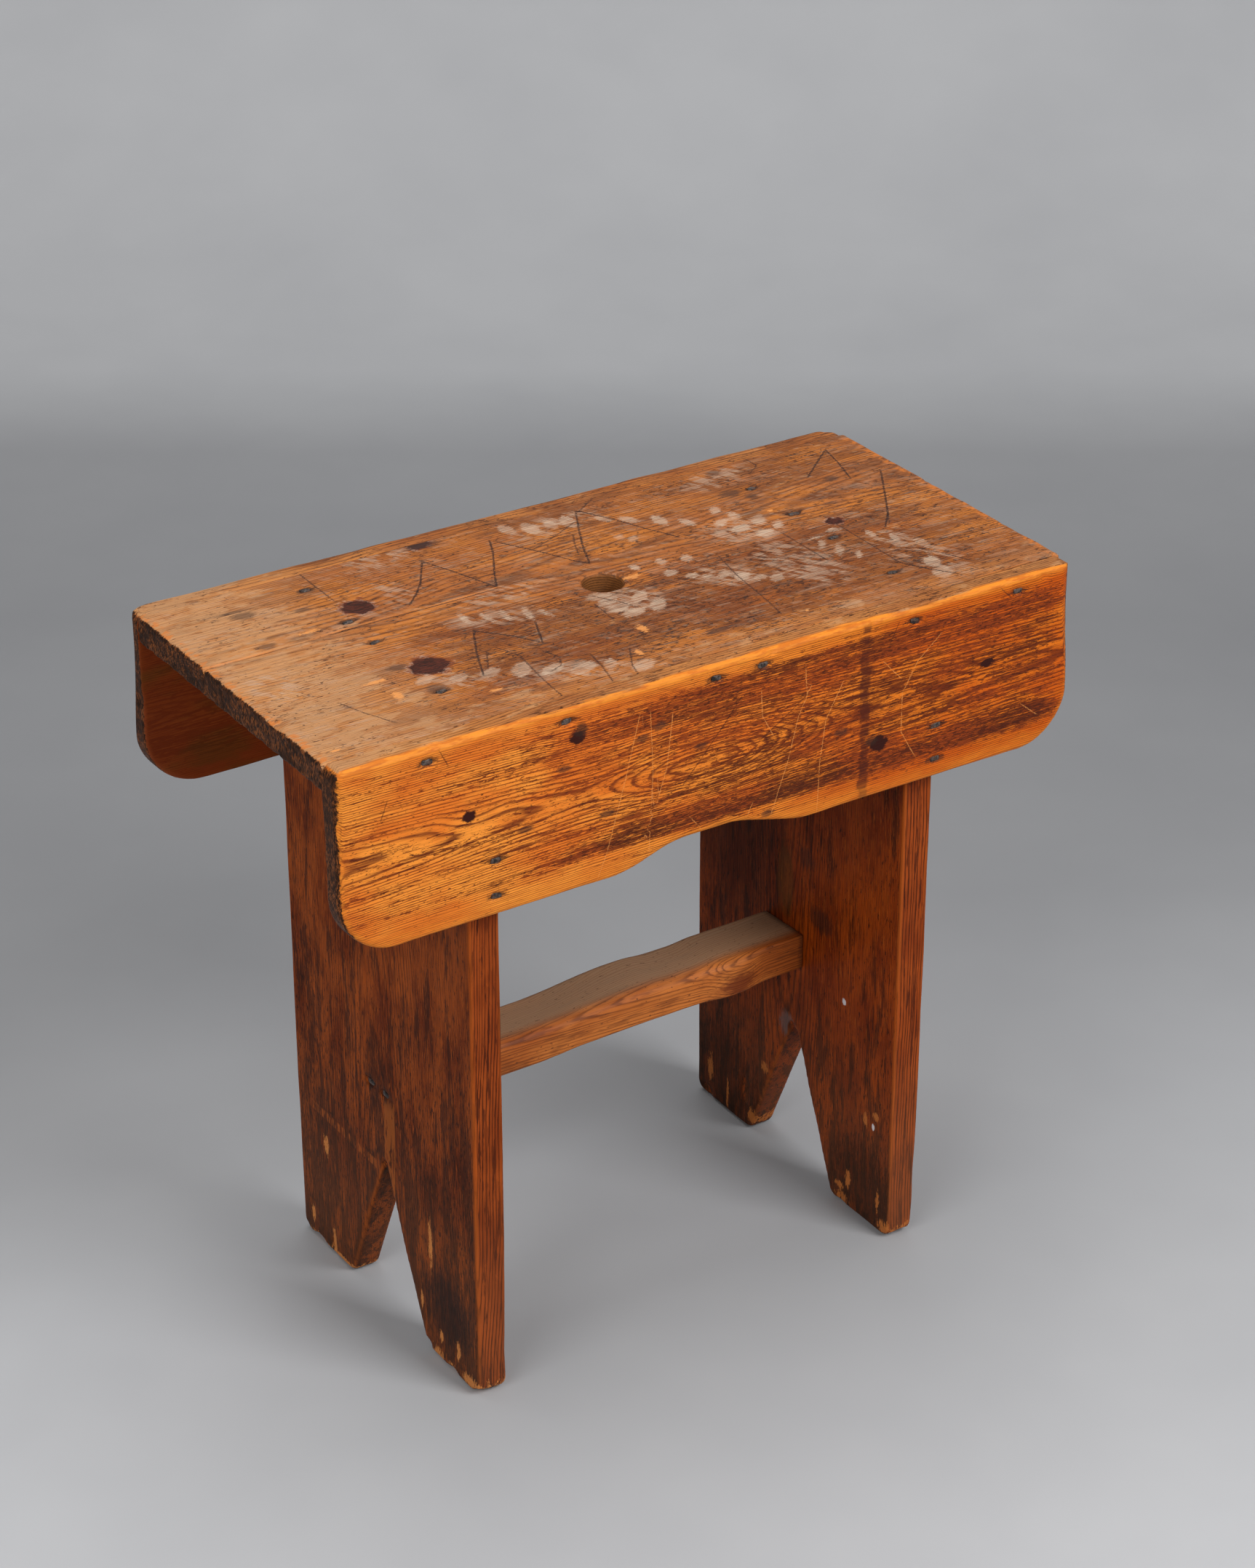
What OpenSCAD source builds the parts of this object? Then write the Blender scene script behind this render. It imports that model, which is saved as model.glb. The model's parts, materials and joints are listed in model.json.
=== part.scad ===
// Milking stool: a nailed bench stool of five boards and a stretcher.
// Frame: millimetres, +X along the length, +Y towards the back, +Z up.
// Origin: middle of the footprint, on the floor.

/* [Overall size] */
// Length of the seat and of both aprons
stool_length = 540; // [500:10:580]
// Width over the two aprons
stool_width = 268; // [244:4:320]
// Height of the seat above the floor
stool_height = 490; // [420:5:560]

/* [Seat] */
// Thickness of the seat board
seat_thick = 19; // [16:1:24]
// Diameter of the carrying hole
hole_diameter = 26; // [20:1:40]
// Distance of the carrying hole behind the middle of the seat
hole_offset = 4; // [-20:1:20]

/* [Aprons] */
// Thickness of each apron
apron_thick = 16; // [12:1:20]
// Height of each apron
apron_height = 126; // [90:2:150]
// Radius of the rounded lower corners
corner_radius = 40; // [10:2:60]
// Width of the scooped arch in the lower edge
arch_width = 150; // [80:5:200]
// Height of the scooped arch
arch_height = 12.5; // [5:0.5:20]
// Distance of the arch to the left of the apron's middle
arch_offset = 10; // [-30:1:30]

/* [Legs] */
// Thickness of each leg board
leg_thick = 22; // [16:1:28]
// Distance from the seat's end to the outer face of the leg
leg_inset = 96; // [84:2:104]
// Width of the V notch at the floor
notch_width = 98; // [60:2:130]
// Height of the V notch
notch_height = 112; // [60:2:140]
// Width of the blunt top of the V notch
notch_tip = 6; // [2:1:12]

/* [Stretcher] */
// Width of the stretcher from front to back
stretcher_width = 50; // [30:2:70]
// Thickness of the stretcher
stretcher_thick = 28; // [18:1:36]
// Height of the stretcher's top face at its right end
stretcher_top = 192; // [170:1:260]
// How much lower the stretcher sits at its left end
stretcher_fall = 6; // [0:1:12]
// Distance of the stretcher behind the middle
stretcher_offset = 11; // [-20:1:30]

/* [Nails] */
// Length of the rectangular nail head
head_length = 8; // [5:0.5:10]
// Width of the rectangular nail head
head_width = 4; // [3:0.5:6]
// Thickness of the nail head
head_thick = 1.6; // [1:0.1:2.5]
// Length of the nails under their heads
nail_length = 38; // [32:1:42]
// Thickness of the nail's shank
shank_size = 3; // [2:0.1:3.5]

/* [Hidden] */
$fn = 64;

seat_width = stool_width - 2 * apron_thick;     // the seat board lies between the aprons
seat_under = stool_height - seat_thick;         // underside of the seat, where the legs stop
seat_middle = stool_height - seat_thick / 2;    // mid-thickness of the seat
apron_bottom = stool_height - apron_height;
leg_outer = stool_length / 2 - leg_inset;       // x of the outer face of the right leg
leg_inner = leg_outer - leg_thick;
leg_middle = leg_outer - leg_thick / 2;
through = 1;                                    // how far a cut runs past the faces it opens

// Places along the apron of the nails into the seat's edge
front_seat_nails = [-208, -113, -6, 28, 143, 224];
back_seat_nails = [-216, -120, -20, 84, 150, 222];
// Heights above the apron's lower edge of the nails into the legs
front_leg_nails = [14, 38];
back_leg_nails = [18, 44];
// Places across the seat of the nails down into the legs
left_top_nails = [-73, 7, 41, 96];
right_top_nails = [-82, -18, 27, 76];
// Places of the two nails in each end of the stretcher, from the stretcher's middle
end_nails = [-16, 3];

// Turns that point the nail, which is drawn going down from its head
INTO_FRONT = [90, 0, 0];
INTO_BACK = [90, 0, 180];
INTO_SEAT = [0, 0, 0];
INTO_LEFT = [90, 0, -90];
INTO_RIGHT = [90, 0, 90];

// A cut nail: flat rectangular head, square shank with a wedge point.
// Drawn with the top of the head at z = 0.
module nail() {
    point = 8;                                  // length of the wedge
    neck = -head_thick / 2;                     // the shank starts inside the head
    translate([-head_length / 2, -head_width / 2, -head_thick])
        cube([head_length, head_width, head_thick]);
    rotate([90, 0, 0])
        linear_extrude(shank_size, center = true)
            polygon([
                [-shank_size / 2, neck],
                [shank_size / 2, neck],
                [shank_size / 2, point - nail_length],
                [shank_size / 4, -nail_length],
                [-shank_size / 4, -nail_length],
                [-shank_size / 2, point - nail_length]
            ]);
}

// One nail, seated flush in an outer face at `place`
module nail_at(place, turn) {
    translate(place) rotate(turn) nail();
}

// ---- nail groups: one module per row of nails ----

module front_seat_row() {
    for (x = front_seat_nails) nail_at([x, -stool_width / 2, seat_middle], INTO_FRONT);
}

module back_seat_row() {
    for (x = back_seat_nails) nail_at([x, stool_width / 2, seat_middle], INTO_BACK);
}

// side is -1 for the left leg and 1 for the right leg
module front_leg_row(side) {
    for (h = front_leg_nails)
        nail_at([side * leg_middle, -stool_width / 2, apron_bottom + h], INTO_FRONT);
}

module back_leg_row(side) {
    for (h = back_leg_nails)
        nail_at([side * leg_middle, stool_width / 2, apron_bottom + h], INTO_BACK);
}

module top_row(side, places) {
    for (y = places) nail_at([side * leg_middle, y, stool_height], INTO_SEAT);
}

module stretcher_row(side) {
    end_top = side < 0 ? stretcher_top - stretcher_fall : stretcher_top;
    for (d = end_nails)
        nail_at([side * leg_outer, stretcher_offset + d, end_top - stretcher_thick / 2],
                side < 0 ? INTO_LEFT : INTO_RIGHT);
}

// ---- outlines ----

// Apron face: straight top, rounded lower corners, shallow scooped arch
module apron_outline() {
    half = stool_length / 2;
    arch_radius = (arch_width * arch_width / 4 + arch_height * arch_height) / (2 * arch_height);
    difference() {
        union() {
            translate([-half, apron_bottom + corner_radius])
                square([stool_length, apron_height - corner_radius]);
            translate([corner_radius - half, apron_bottom])
                square([stool_length - 2 * corner_radius, apron_height]);
            for (side = [-1, 1])
                translate([side * (half - corner_radius), apron_bottom + corner_radius])
                    circle(r = corner_radius);
        }
        translate([-arch_offset, apron_bottom + arch_height - arch_radius])
            circle(r = arch_radius, $fn = 128);
    }
}

// Leg board with the V notch that makes its two feet
module leg_outline() {
    difference() {
        translate([-seat_width / 2, 0]) square([seat_width, seat_under]);
        polygon([
            [-notch_width / 2, -through],
            [-notch_width / 2, 0],
            [-notch_tip / 2, notch_height],
            [notch_tip / 2, notch_height],
            [notch_width / 2, 0],
            [notch_width / 2, -through]
        ]);
    }
}

// Stretcher seen from the front: a plumb-ended bar that falls towards the left
module stretcher_outline() {
    polygon([
        [-leg_inner, stretcher_top - stretcher_fall],
        [leg_inner, stretcher_top],
        [leg_inner, stretcher_top - stretcher_thick],
        [-leg_inner, stretcher_top - stretcher_fall - stretcher_thick]
    ]);
}

// ---- boards ----

module seat_board() {
    color("#a9713f")
        difference() {
            translate([-stool_length / 2, -seat_width / 2, seat_under])
                cube([stool_length, seat_width, seat_thick]);
            translate([0, hole_offset, seat_under - through])
                cylinder(d = hole_diameter, h = seat_thick + 2 * through);
            front_seat_row();
            back_seat_row();
            top_row(-1, left_top_nails);
            top_row(1, right_top_nails);
        }
}

module front_apron() {
    color("#b5702e")
        difference() {
            translate([0, apron_thick - stool_width / 2, 0])
                rotate([90, 0, 0]) linear_extrude(apron_thick) apron_outline();
            front_seat_row();
            front_leg_row(-1);
            front_leg_row(1);
        }
}

module back_apron() {
    color("#9a5a2c")
        difference() {
            translate([0, stool_width / 2, 0])
                rotate([90, 0, 0]) linear_extrude(apron_thick) apron_outline();
            back_seat_row();
            back_leg_row(-1);
            back_leg_row(1);
        }
}

module leg(side, top_places) {
    color("#5f2f1a")
        difference() {
            translate([side * leg_middle - leg_thick / 2, 0, 0])
                rotate([90, 0, 90]) linear_extrude(leg_thick) leg_outline();
            front_leg_row(side);
            back_leg_row(side);
            top_row(side, top_places);
            stretcher_row(side);
        }
}

module left_leg() { leg(-1, left_top_nails); }
module right_leg() { leg(1, right_top_nails); }

module stretcher() {
    color("#8a5228")
        difference() {
            translate([0, stretcher_offset + stretcher_width / 2, 0])
                rotate([90, 0, 0]) linear_extrude(stretcher_width) stretcher_outline();
            stretcher_row(-1);
            stretcher_row(1);
        }
}

// ---- nails ----

module iron() { color("#35302c") children(); }

module nails_front_apron_to_seat() { iron() front_seat_row(); }
module nails_back_apron_to_seat() { iron() back_seat_row(); }
module nails_front_apron_to_left_leg() { iron() front_leg_row(-1); }
module nails_front_apron_to_right_leg() { iron() front_leg_row(1); }
module nails_back_apron_to_left_leg() { iron() back_leg_row(-1); }
module nails_back_apron_to_right_leg() { iron() back_leg_row(1); }
module nails_seat_to_left_leg() { iron() top_row(-1, left_top_nails); }
module nails_seat_to_right_leg() { iron() top_row(1, right_top_nails); }
module nails_left_leg_to_stretcher() { iron() stretcher_row(-1); }
module nails_right_leg_to_stretcher() { iron() stretcher_row(1); }

seat_board();
front_apron();
back_apron();
left_leg();
right_leg();
stretcher();
nails_front_apron_to_seat();
nails_back_apron_to_seat();
nails_front_apron_to_left_leg();
nails_front_apron_to_right_leg();
nails_back_apron_to_left_leg();
nails_back_apron_to_right_leg();
nails_seat_to_left_leg();
nails_seat_to_right_leg();
nails_left_leg_to_stretcher();
nails_right_leg_to_stretcher();
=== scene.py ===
"""A worn pine milking stool.

Each board is described as a distance field, so that its rounded arrises, chips, crack and knots are real
shape, and is then meshed. Its material is solid wood: growth rings round a pith, under stain, wear and
dirt, with some sheen, highlights and shade painted into the colour as well.

Lengths are millimetres in the frame's own axes (X along the stool, Y to the back, Z up) until a mesh is
made, when they become metres.
"""
import json
import math

import bpy
import numpy as np
from mathutils import Matrix, Vector


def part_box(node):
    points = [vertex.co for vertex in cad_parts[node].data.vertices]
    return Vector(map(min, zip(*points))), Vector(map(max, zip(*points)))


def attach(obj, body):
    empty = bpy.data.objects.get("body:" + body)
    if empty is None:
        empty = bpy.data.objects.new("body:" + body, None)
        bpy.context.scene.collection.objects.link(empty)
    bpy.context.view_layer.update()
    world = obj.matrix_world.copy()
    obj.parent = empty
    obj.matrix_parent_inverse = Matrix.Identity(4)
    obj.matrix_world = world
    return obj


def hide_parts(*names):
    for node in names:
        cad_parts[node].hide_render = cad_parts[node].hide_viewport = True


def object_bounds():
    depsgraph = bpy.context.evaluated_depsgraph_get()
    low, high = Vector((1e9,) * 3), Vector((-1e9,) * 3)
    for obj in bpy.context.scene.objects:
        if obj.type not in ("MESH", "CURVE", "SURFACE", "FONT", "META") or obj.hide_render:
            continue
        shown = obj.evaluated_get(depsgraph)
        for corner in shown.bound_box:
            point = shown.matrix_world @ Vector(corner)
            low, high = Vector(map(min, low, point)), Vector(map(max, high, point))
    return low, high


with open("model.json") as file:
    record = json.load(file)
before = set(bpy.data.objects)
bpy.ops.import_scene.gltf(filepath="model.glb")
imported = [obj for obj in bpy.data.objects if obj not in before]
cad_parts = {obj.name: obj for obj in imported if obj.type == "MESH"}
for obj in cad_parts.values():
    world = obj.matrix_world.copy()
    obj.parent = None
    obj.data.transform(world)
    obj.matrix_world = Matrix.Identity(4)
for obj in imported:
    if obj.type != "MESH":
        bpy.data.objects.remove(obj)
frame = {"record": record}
cad_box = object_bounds()

MM = 0.001                                  # metres in a millimetre


# ---- sizes from the frame

def box_mm(node):
    """Lowest and highest corner of a CAD node, in millimetres."""
    low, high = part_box(node)
    return np.array(low) / MM, np.array(high) / MM


SEAT_LOW, SEAT_HIGH = box_mm("seat_board")
APRON_LOW, APRON_HIGH = box_mm("front_apron")
LEG_LOW, LEG_HIGH = box_mm("left_leg")
BAR_LOW, BAR_HIGH = box_mm("stretcher")
BORE = next(m for m in frame["record"]["mounts"] if m["name"] == "carry_hole")
HOLE_X, HOLE_Y = BORE["pos_m"][0] / MM, BORE["pos_m"][1] / MM
HOLE_RADIUS = BORE["dims"]["r_mm"]


# ---- smooth random fields

LATTICE_SIZE = 24
LATTICE = np.random.default_rng(11).uniform(-1.0, 1.0, (LATTICE_SIZE,) * 3)


def noise(p, size, seed=0):
    """Smooth noise from -1 to 1 at the points p = (x, y, z); size is a bump's length, or one per axis."""
    low, high, part = [], [], []
    for axis, length in enumerate(np.broadcast_to(size, 3)):
        t = p[axis] / length + 7.31 * seed + 3.7 * axis
        whole = np.floor(t).astype(int)
        low.append(whole % LATTICE_SIZE)
        high.append((whole + 1) % LATTICE_SIZE)
        f = t - whole
        part.append(f * f * (3 - 2 * f))
    total = 0.0
    for i, a in ((low[0], 1 - part[0]), (high[0], part[0])):
        for j, b in ((low[1], 1 - part[1]), (high[1], part[1])):
            for k, c in ((low[2], 1 - part[2]), (high[2], part[2])):
                total = total + LATTICE[i, j, k] * a * b * c
    return total


def fade(value, low, high):
    """0 at low, 1 at high, smooth between; low may be the larger."""
    t = np.clip((value - low) / (high - low), 0.0, 1.0)
    return t * t * (3 - 2 * t)


def mix(a, b, share):
    return a + (b - a) * share


# ---- distance fields

def rounded(a, b, radius):
    """Two distances met at a right angle, the arris between them rounded."""
    a, b = a + radius, b + radius
    return np.hypot(np.maximum(a, 0), np.maximum(b, 0)) + np.minimum(np.maximum(a, b), 0) - radius


def ellipsoid(p, centre, radii):
    """Roughly the distance to an ellipsoid, negative inside."""
    q = sum(((c - m) / r) ** 2 for c, m, r in zip(p, centre, radii))
    return (np.sqrt(q) - 1) * min(radii)


def cut(solid, tool, blend=1.0):
    """The solid with the tool's inside taken away, the new arris softened over blend."""
    both = np.maximum(solid, -tool)
    near = np.maximum(blend - np.abs(solid + tool), 0) / blend
    return both + near * near * blend / 4


# ---- nails: where they are, and their heads

FACE_Y = cad_box[1][1] / MM                 # y of the back apron's outer face
SEAT_MID = (SEAT_LOW[2] + SEAT_HIGH[2]) / 2
LEG_MID = -(LEG_LOW[0] + LEG_HIGH[0]) / 2   # x of the middle of the right leg
LEG_FACE = -LEG_LOW[0]                      # x of the right leg's outer face
TOP = SEAT_HIGH[2]

FRONT_SEAT_NAILS = [(x, -FACE_Y, SEAT_MID) for x in (-208, -113, -6, 28, 143, 224)]
BACK_SEAT_NAILS = [(x, FACE_Y, SEAT_MID) for x in (-216, -120, -20, 84, 150, 222)]
LEFT_TOP_NAILS = [(-LEG_MID, y, TOP) for y in (-73, 7, 41, 96)]
RIGHT_TOP_NAILS = [(LEG_MID, y, TOP) for y in (-82, -18, 27, 76)]
LEFT_BAR_NAILS = [(-LEG_FACE, y, 172) for y in (-5, 14)]
RIGHT_BAR_NAILS = [(LEG_FACE, y, 178) for y in (-5, 14)]


def apron_leg_nails(x_side, y_side):
    heights = (378, 402) if y_side < 0 else (382, 408)
    return [(x_side * LEG_MID, y_side * FACE_Y, z) for z in heights]


HEAD_HALF = (4.0, 2.0)                      # half the length and half the width of a nail head
HEAD_SUNK = 0.5                             # how far a head lies below the wood's face
HEAD_THICK = 1.6
SHANK_HALF = 1.5
NAIL_LONG = 38.0
POINT_LONG = 8.0


def nail_shape(p, seed):
    """A hammered head and a wedge-pointed shank; p is (along the head, across it, depth into the wood)."""
    u, v, depth = p
    lump = noise((u, v, depth + 40 * seed), (2.6, 1.9, 3.0), seed)
    long, wide = HEAD_HALF[0] - 0.35 + 0.45 * lump, HEAD_HALF[1] - 0.25 + 0.4 * lump
    dome = 0.05 * (u * u / 3 + v * v) + 0.22 * noise((u, v, 9 * seed), (3.1, 2.3, 1), seed + 1)
    face = HEAD_SUNK + dome - depth
    head = np.maximum(rounded(rounded(np.abs(u) - long, np.abs(v) - wide, 1.1), face, 0.5),
                      depth - HEAD_SUNK - HEAD_THICK)
    point = SHANK_HALF * fade(depth, NAIL_LONG + 1, NAIL_LONG - POINT_LONG)
    shank = np.maximum(np.maximum(np.abs(u) - point, np.abs(v) - SHANK_HALF + 0.1), depth - NAIL_LONG + 0.4)
    return np.minimum(head, np.maximum(shank, HEAD_SUNK + 0.6 - depth))


# ---- wear: chips, crack and corners

# Chips out of the boards: centre and radii of an ellipsoid
SEAT_CHIPS = [
    ((21, 3, 490.6), (10, 6, 1.6)), ((-268, -60, 491), (7, 9, 2.5)), ((-269, 78, 491), (6, 7, 2.2)),
    ((270, 20, 491), (4, 12, 2.5)), ((270, -62, 491), (4, 10, 2.5)), ((-190, -67, 490.5), (8, 3, 0.9)),
    ((-254, -107, 490.4), (5, 1.6, 0.8)), ((35, -100, 490.4), (6, 2, 0.8)),
    ((-190, -42, 490.4), (7, 2.2, 0.8)), ((-15, -67, 490.4), (4, 3, 0.7)),
    ((-36, -93, 490.4), (2.2, 4, 0.7)),
]
FRONT_CHIPS = [
    ((-200, -134, 490), (10, 2.5, 3)), ((-38, -135, 491), (13, 3, 3.5)), ((35, -135, 490), (6, 3, 5)),
    ((92, -135, 491), (8, 3, 4)), ((112, -135, 491), (4, 3, 5)), ((214, -135, 491), (9, 3, 4)),
    ((-268, -135, 452), (3, 3, 9)), ((268, -134, 440), (4, 4, 10)), ((-120, -134, 363), (16, 4, 2.5)),
    ((-271, -134, 400), (3, 4, 12)), ((246, -135, 486), (6, 2.5, 5)), ((-160, -135, 491), (6, 3, 4)),
]
BACK_CHIPS = [
    ((272, 136, 492), (16, 12, 12)), ((212, 136, 491), (9, 4, 3)), ((-268, 136, 491), (12, 7, 6)),
    ((-40, 136, 491), (14, 3.5, 3)), ((90, 136, 490), (10, 3, 4)), ((-150, 136, 491), (12, 3, 3)),
    ((-271, 122, 430), (3, 5, 9)), ((-150, 135, 363), (14, 4, 3)), ((60, 136, 377), (10, 3, 3)),
]
LEFT_CHIPS = [
    ((-176, 80, 88), (3.2, 2.6, 11)), ((-176, 103, 17), (3.0, 2.5, 12)), ((-176, 75, 8), (3.5, 3.5, 13)),
    ((-176, -60, 86), (3.0, 2.4, 19)), ((-176, -92, 22), (3.2, 2.0, 8)), ((-176, -72, 21), (3, 3.2, 6)),
    ((-172, -117, 1), (9, 9, 5)), ((-172, -48, 3), (8, 9, 6)), ((-163, 118, 0), (16, 12, 7)),
    ((-176, -1, 112), (6, 5, 9)), ((-174, 95, 0), (5, 10, 5)), ((-174, -84, 0), (4, 8, 5)),
]
RIGHT_CHIPS = [
    ((150, -104, 27), (2.5, 3, 9)), ((150, -60, 4), (5, 8, 7)), ((163, -119, 0), (14, 9, 6)),
    ((150, 2, 108), (5, 6, 10)), ((150, 104, 4), (5, 9, 6)), ((152, 56, 30), (3, 4, 12)),
    ((150, -72, 26), (2.2, 2.5, 8)), ((150, -88, 82), (2, 2.5, 6)), ((150, 32, 62), (3, 4, 5)),
]
CRACK_END_X = -24
CRACK_HALF = 0.75                           # half the crack's width at the seat's end
CRACK_DEEP = 6.0


def crack_y(x):
    """Where the seat's long crack runs: nearly straight, bending back as it dies out."""
    return 29.5 + 1.2 * np.sin(x / 31) + 5.0 * fade(x, -130, CRACK_END_X)


def board(outline, deep, radius, p, roughness=0.3, seed=0):
    """A board from the distance to its outline and to its faces, worn a little everywhere."""
    worn = roughness * (0.55 + 0.45 * noise(p, (70, 45, 45), seed))
    ripple = 0.06 * (1 + noise(p, 9, seed + 1))
    return rounded(outline, deep, radius * (1 + 0.3 * noise(p, 22, seed + 2))) + worn + ripple


def with_chips(solid, p, chips, seed):
    ragged = 0.5 * noise(p, 3.5, seed)
    for centre, radii in chips:
        solid = cut(solid, ellipsoid(p, centre, radii) + ragged, 0.6)
    return solid


def with_pockets(solid, p, spots, radii):
    """The solid with a shallow dish crushed into it round each nail head."""
    ragged = 0.4 * noise(p, 1.9, 3)
    for spot in spots:
        solid = cut(solid, ellipsoid(p, spot, radii) + ragged, 0.3)
    return solid


# ---- the boards

# Hollows where the seat's knots have worn: centre and radii
KNOT_HOLLOWS = [
    ((-148, 56, 491), (13, 11, 1.6)), ((-152, -40, 491), (15, 14, 1.7)), ((178, 2, 491), (8, 7, 1.5)),
]
SEAM_TIGHT = 0.35                           # how far the seat's edges reach to close the seams


def seat(p):
    x, y, z = p
    half = (SEAT_HIGH - SEAT_LOW) / 2
    middle = (SEAT_HIGH + SEAT_LOW) / 2
    fray = fade(x, -255, -268) * (0.9 + 0.9 * noise(p, (9, 1.7, 4), 5))
    wave = fade(x, 250, 268) * (0.8 + 0.8 * noise(p, (60, 14, 60), 6))
    sides = rounded(np.abs(x - middle[0]) - half[0] + fray + wave, np.abs(y) - half[1] - SEAM_TIGHT, 1.0)
    hole = HOLE_RADIUS + 0.3 * noise(p, (6, 6, 2.5), 7) - np.hypot(x - HOLE_X, y - HOLE_Y)
    outline = np.maximum(sides, hole)
    deep = np.abs(z - middle[2]) - half[2]
    by_end = fade(np.abs(x), 262, 268)
    radius = mix(0.4, 2.8, np.maximum(by_end, fade(hole, -6, -3)))
    solid = board(outline, deep, radius, p, 0.3, seed=10)
    for centre, radii in KNOT_HOLLOWS:
        solid = cut(solid, ellipsoid(p, centre, radii), 1.2)
    solid = with_chips(solid, p, SEAT_CHIPS, 14)
    solid = with_pockets(solid, p, LEFT_TOP_NAILS + RIGHT_TOP_NAILS, (6.8, 3.6, 1.6))
    taper = fade(x, CRACK_END_X, SEAT_LOW[0])
    floor_z = SEAT_HIGH[2] - CRACK_DEEP * taper
    gap = np.abs(y - crack_y(x)) - CRACK_HALF * taper * np.clip((z - floor_z) / 3, 0, 1)
    return {"solid": cut(solid, gap, 0.3), "rim": -outline, "deep": -deep}


# The apron's arch: a flat-topped scoop
ARCH_X, ARCH_HALF, ARCH_FLAT, ARCH_HIGH = -10, 75, 14, 12.5
# Radius of the aprons' outer corners, seen from above: left and right end
FRONT_CORNERS, BACK_CORNERS = (6.0, 12.0), (13.0, 14.0)


def apron(p, side, chips, seed):
    """side is -1 for the front apron and 1 for the back one."""
    x, y, z = p
    thick = APRON_HIGH[1] - APRON_LOW[1]
    outward = y * side - thick / 2 - SEAT_HIGH[1]
    half_x = APRON_HIGH[0]
    mid_z, half_z = (APRON_HIGH[2] + APRON_LOW[2]) / 2, (APRON_HIGH[2] - APRON_LOW[2]) / 2
    upper = z > mid_z
    corner = np.where(upper, 7.5, 40.0)
    wave = 0.5 + 0.5 * noise(p, (45, 45, 30), seed + 5)
    face = rounded(np.abs(x) - half_x + wave, np.abs(z - mid_z) - half_z + wave * (z < mid_z), corner)
    arch = APRON_LOW[2] + ARCH_HIGH * fade(np.abs(x - ARCH_X), ARCH_HALF, ARCH_FLAT) + 0.8 * wave
    outline = np.maximum(face, np.where(np.abs(x - ARCH_X) < ARCH_HALF, arch - z, -50.0))
    deep = np.abs(outward) - thick / 2
    radius = np.where(outward > 0, np.where(upper, 4.4, 4.0), np.where(upper, 0.4, 2.5))
    solid = board(outline, deep, radius, p, 0.35, seed)
    left, right = FRONT_CORNERS if side < 0 else BACK_CORNERS
    turn = np.where(x < 0, left, right) * mix(0.45, 1.0, fade(z, 400, 470))
    solid = np.maximum(solid, rounded(np.abs(x) - half_x + wave, outward - thick / 2, turn))
    rows = FRONT_SEAT_NAILS if side < 0 else BACK_SEAT_NAILS
    spots = rows + apron_leg_nails(-1, side) + apron_leg_nails(1, side)
    solid = with_pockets(solid, p, spots, (6.6, 1.6, 3.4))
    return {"solid": with_chips(solid, p, chips, seed + 4), "rim": -outline, "deep": -deep}


NOTCH_HALF, NOTCH_HIGH, NOTCH_TIP = 49, 112, 3


def leg(p, side, chips, seed):
    """side is -1 for the left leg and 1 for the right one."""
    x, y, z = p
    half_y, top = LEG_HIGH[1], LEG_HIGH[2]
    slope = (NOTCH_HALF - NOTCH_TIP) / NOTCH_HIGH
    wave = 0.5 + 0.5 * noise(p, (60, 30, 40), seed + 5)
    near_floor = fade(z, 130, 0)
    corner = mix(2.0, 10.0, fade(z, 60, 0))
    sides = rounded(np.abs(y) - half_y + 0.5 * wave, np.abs(z - top / 2) - top / 2 + 0.4 * wave, corner)
    open_half = NOTCH_HALF - slope * z + 0.8 * wave
    lean = 2 * fade(z, 60, 110)
    notch = np.maximum((np.abs(y + lean) - open_half) / math.hypot(1, slope), z - NOTCH_HIGH)
    outline = cut(sides, notch, 5.0)
    thick = (LEG_HIGH[0] - LEG_LOW[0]) / 2
    deep = np.abs(x - side * LEG_MID) - thick
    radius = mix(1.5, 4.5, near_floor)
    solid = board(outline, deep, radius, p, 0.35, seed)
    spots = LEFT_BAR_NAILS if side < 0 else RIGHT_BAR_NAILS
    solid = with_pockets(solid, p, spots, (1.6, 6.6, 3.4))
    return {"solid": with_chips(solid, p, chips, seed + 4), "rim": -outline, "deep": -deep}


BAR_FALL, BAR_THICK = 6.0, 28.0             # how much lower its left end is, and its thickness


def bar(p):
    """The stretcher: worn hollow on top by feet, its front arris rubbed round, a swelling at a knot."""
    x, y, z = p
    half_x = BAR_HIGH[0]
    top = BAR_HIGH[2] - BAR_FALL * (half_x - x) / (2 * half_x)
    hollow = 3.0 * fade(np.abs(x + 62), 82, 10) + 1.2 * fade(np.abs(x - 60), 30, 8)
    back = fade(y, BAR_LOW[1], BAR_HIGH[1])
    swell = 2.2 * fade(np.abs(x - 96), 26, 4) * fade(y, 10, -14)
    above = z - top + hollow * mix(0.6, 1.5, back) + 1.8 * fade(x, 20, 130) * back
    below = top - BAR_THICK - z + 1.0 + 1.6 * noise(p, (38, 60, 60), 31)
    height = np.maximum(above, below)
    mid_y, half_y = (BAR_HIGH[1] + BAR_LOW[1]) / 2, (BAR_HIGH[1] - BAR_LOW[1]) / 2
    width = np.abs(y - mid_y) - half_y + np.where(y < mid_y, 2.4 - swell, 0.5)
    front = np.where(y < mid_y, mix(9.0, 2.0, fade(x, 96, 128)), 4.0)
    radius = np.where(above > below, front, 3.0)
    outline = rounded(width, height, radius)
    deep = np.abs(x) - half_x
    return {"solid": board(outline, deep, 0.8, p, 0.2, 30), "rim": -outline, "deep": -deep}


# ---- meshing

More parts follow.
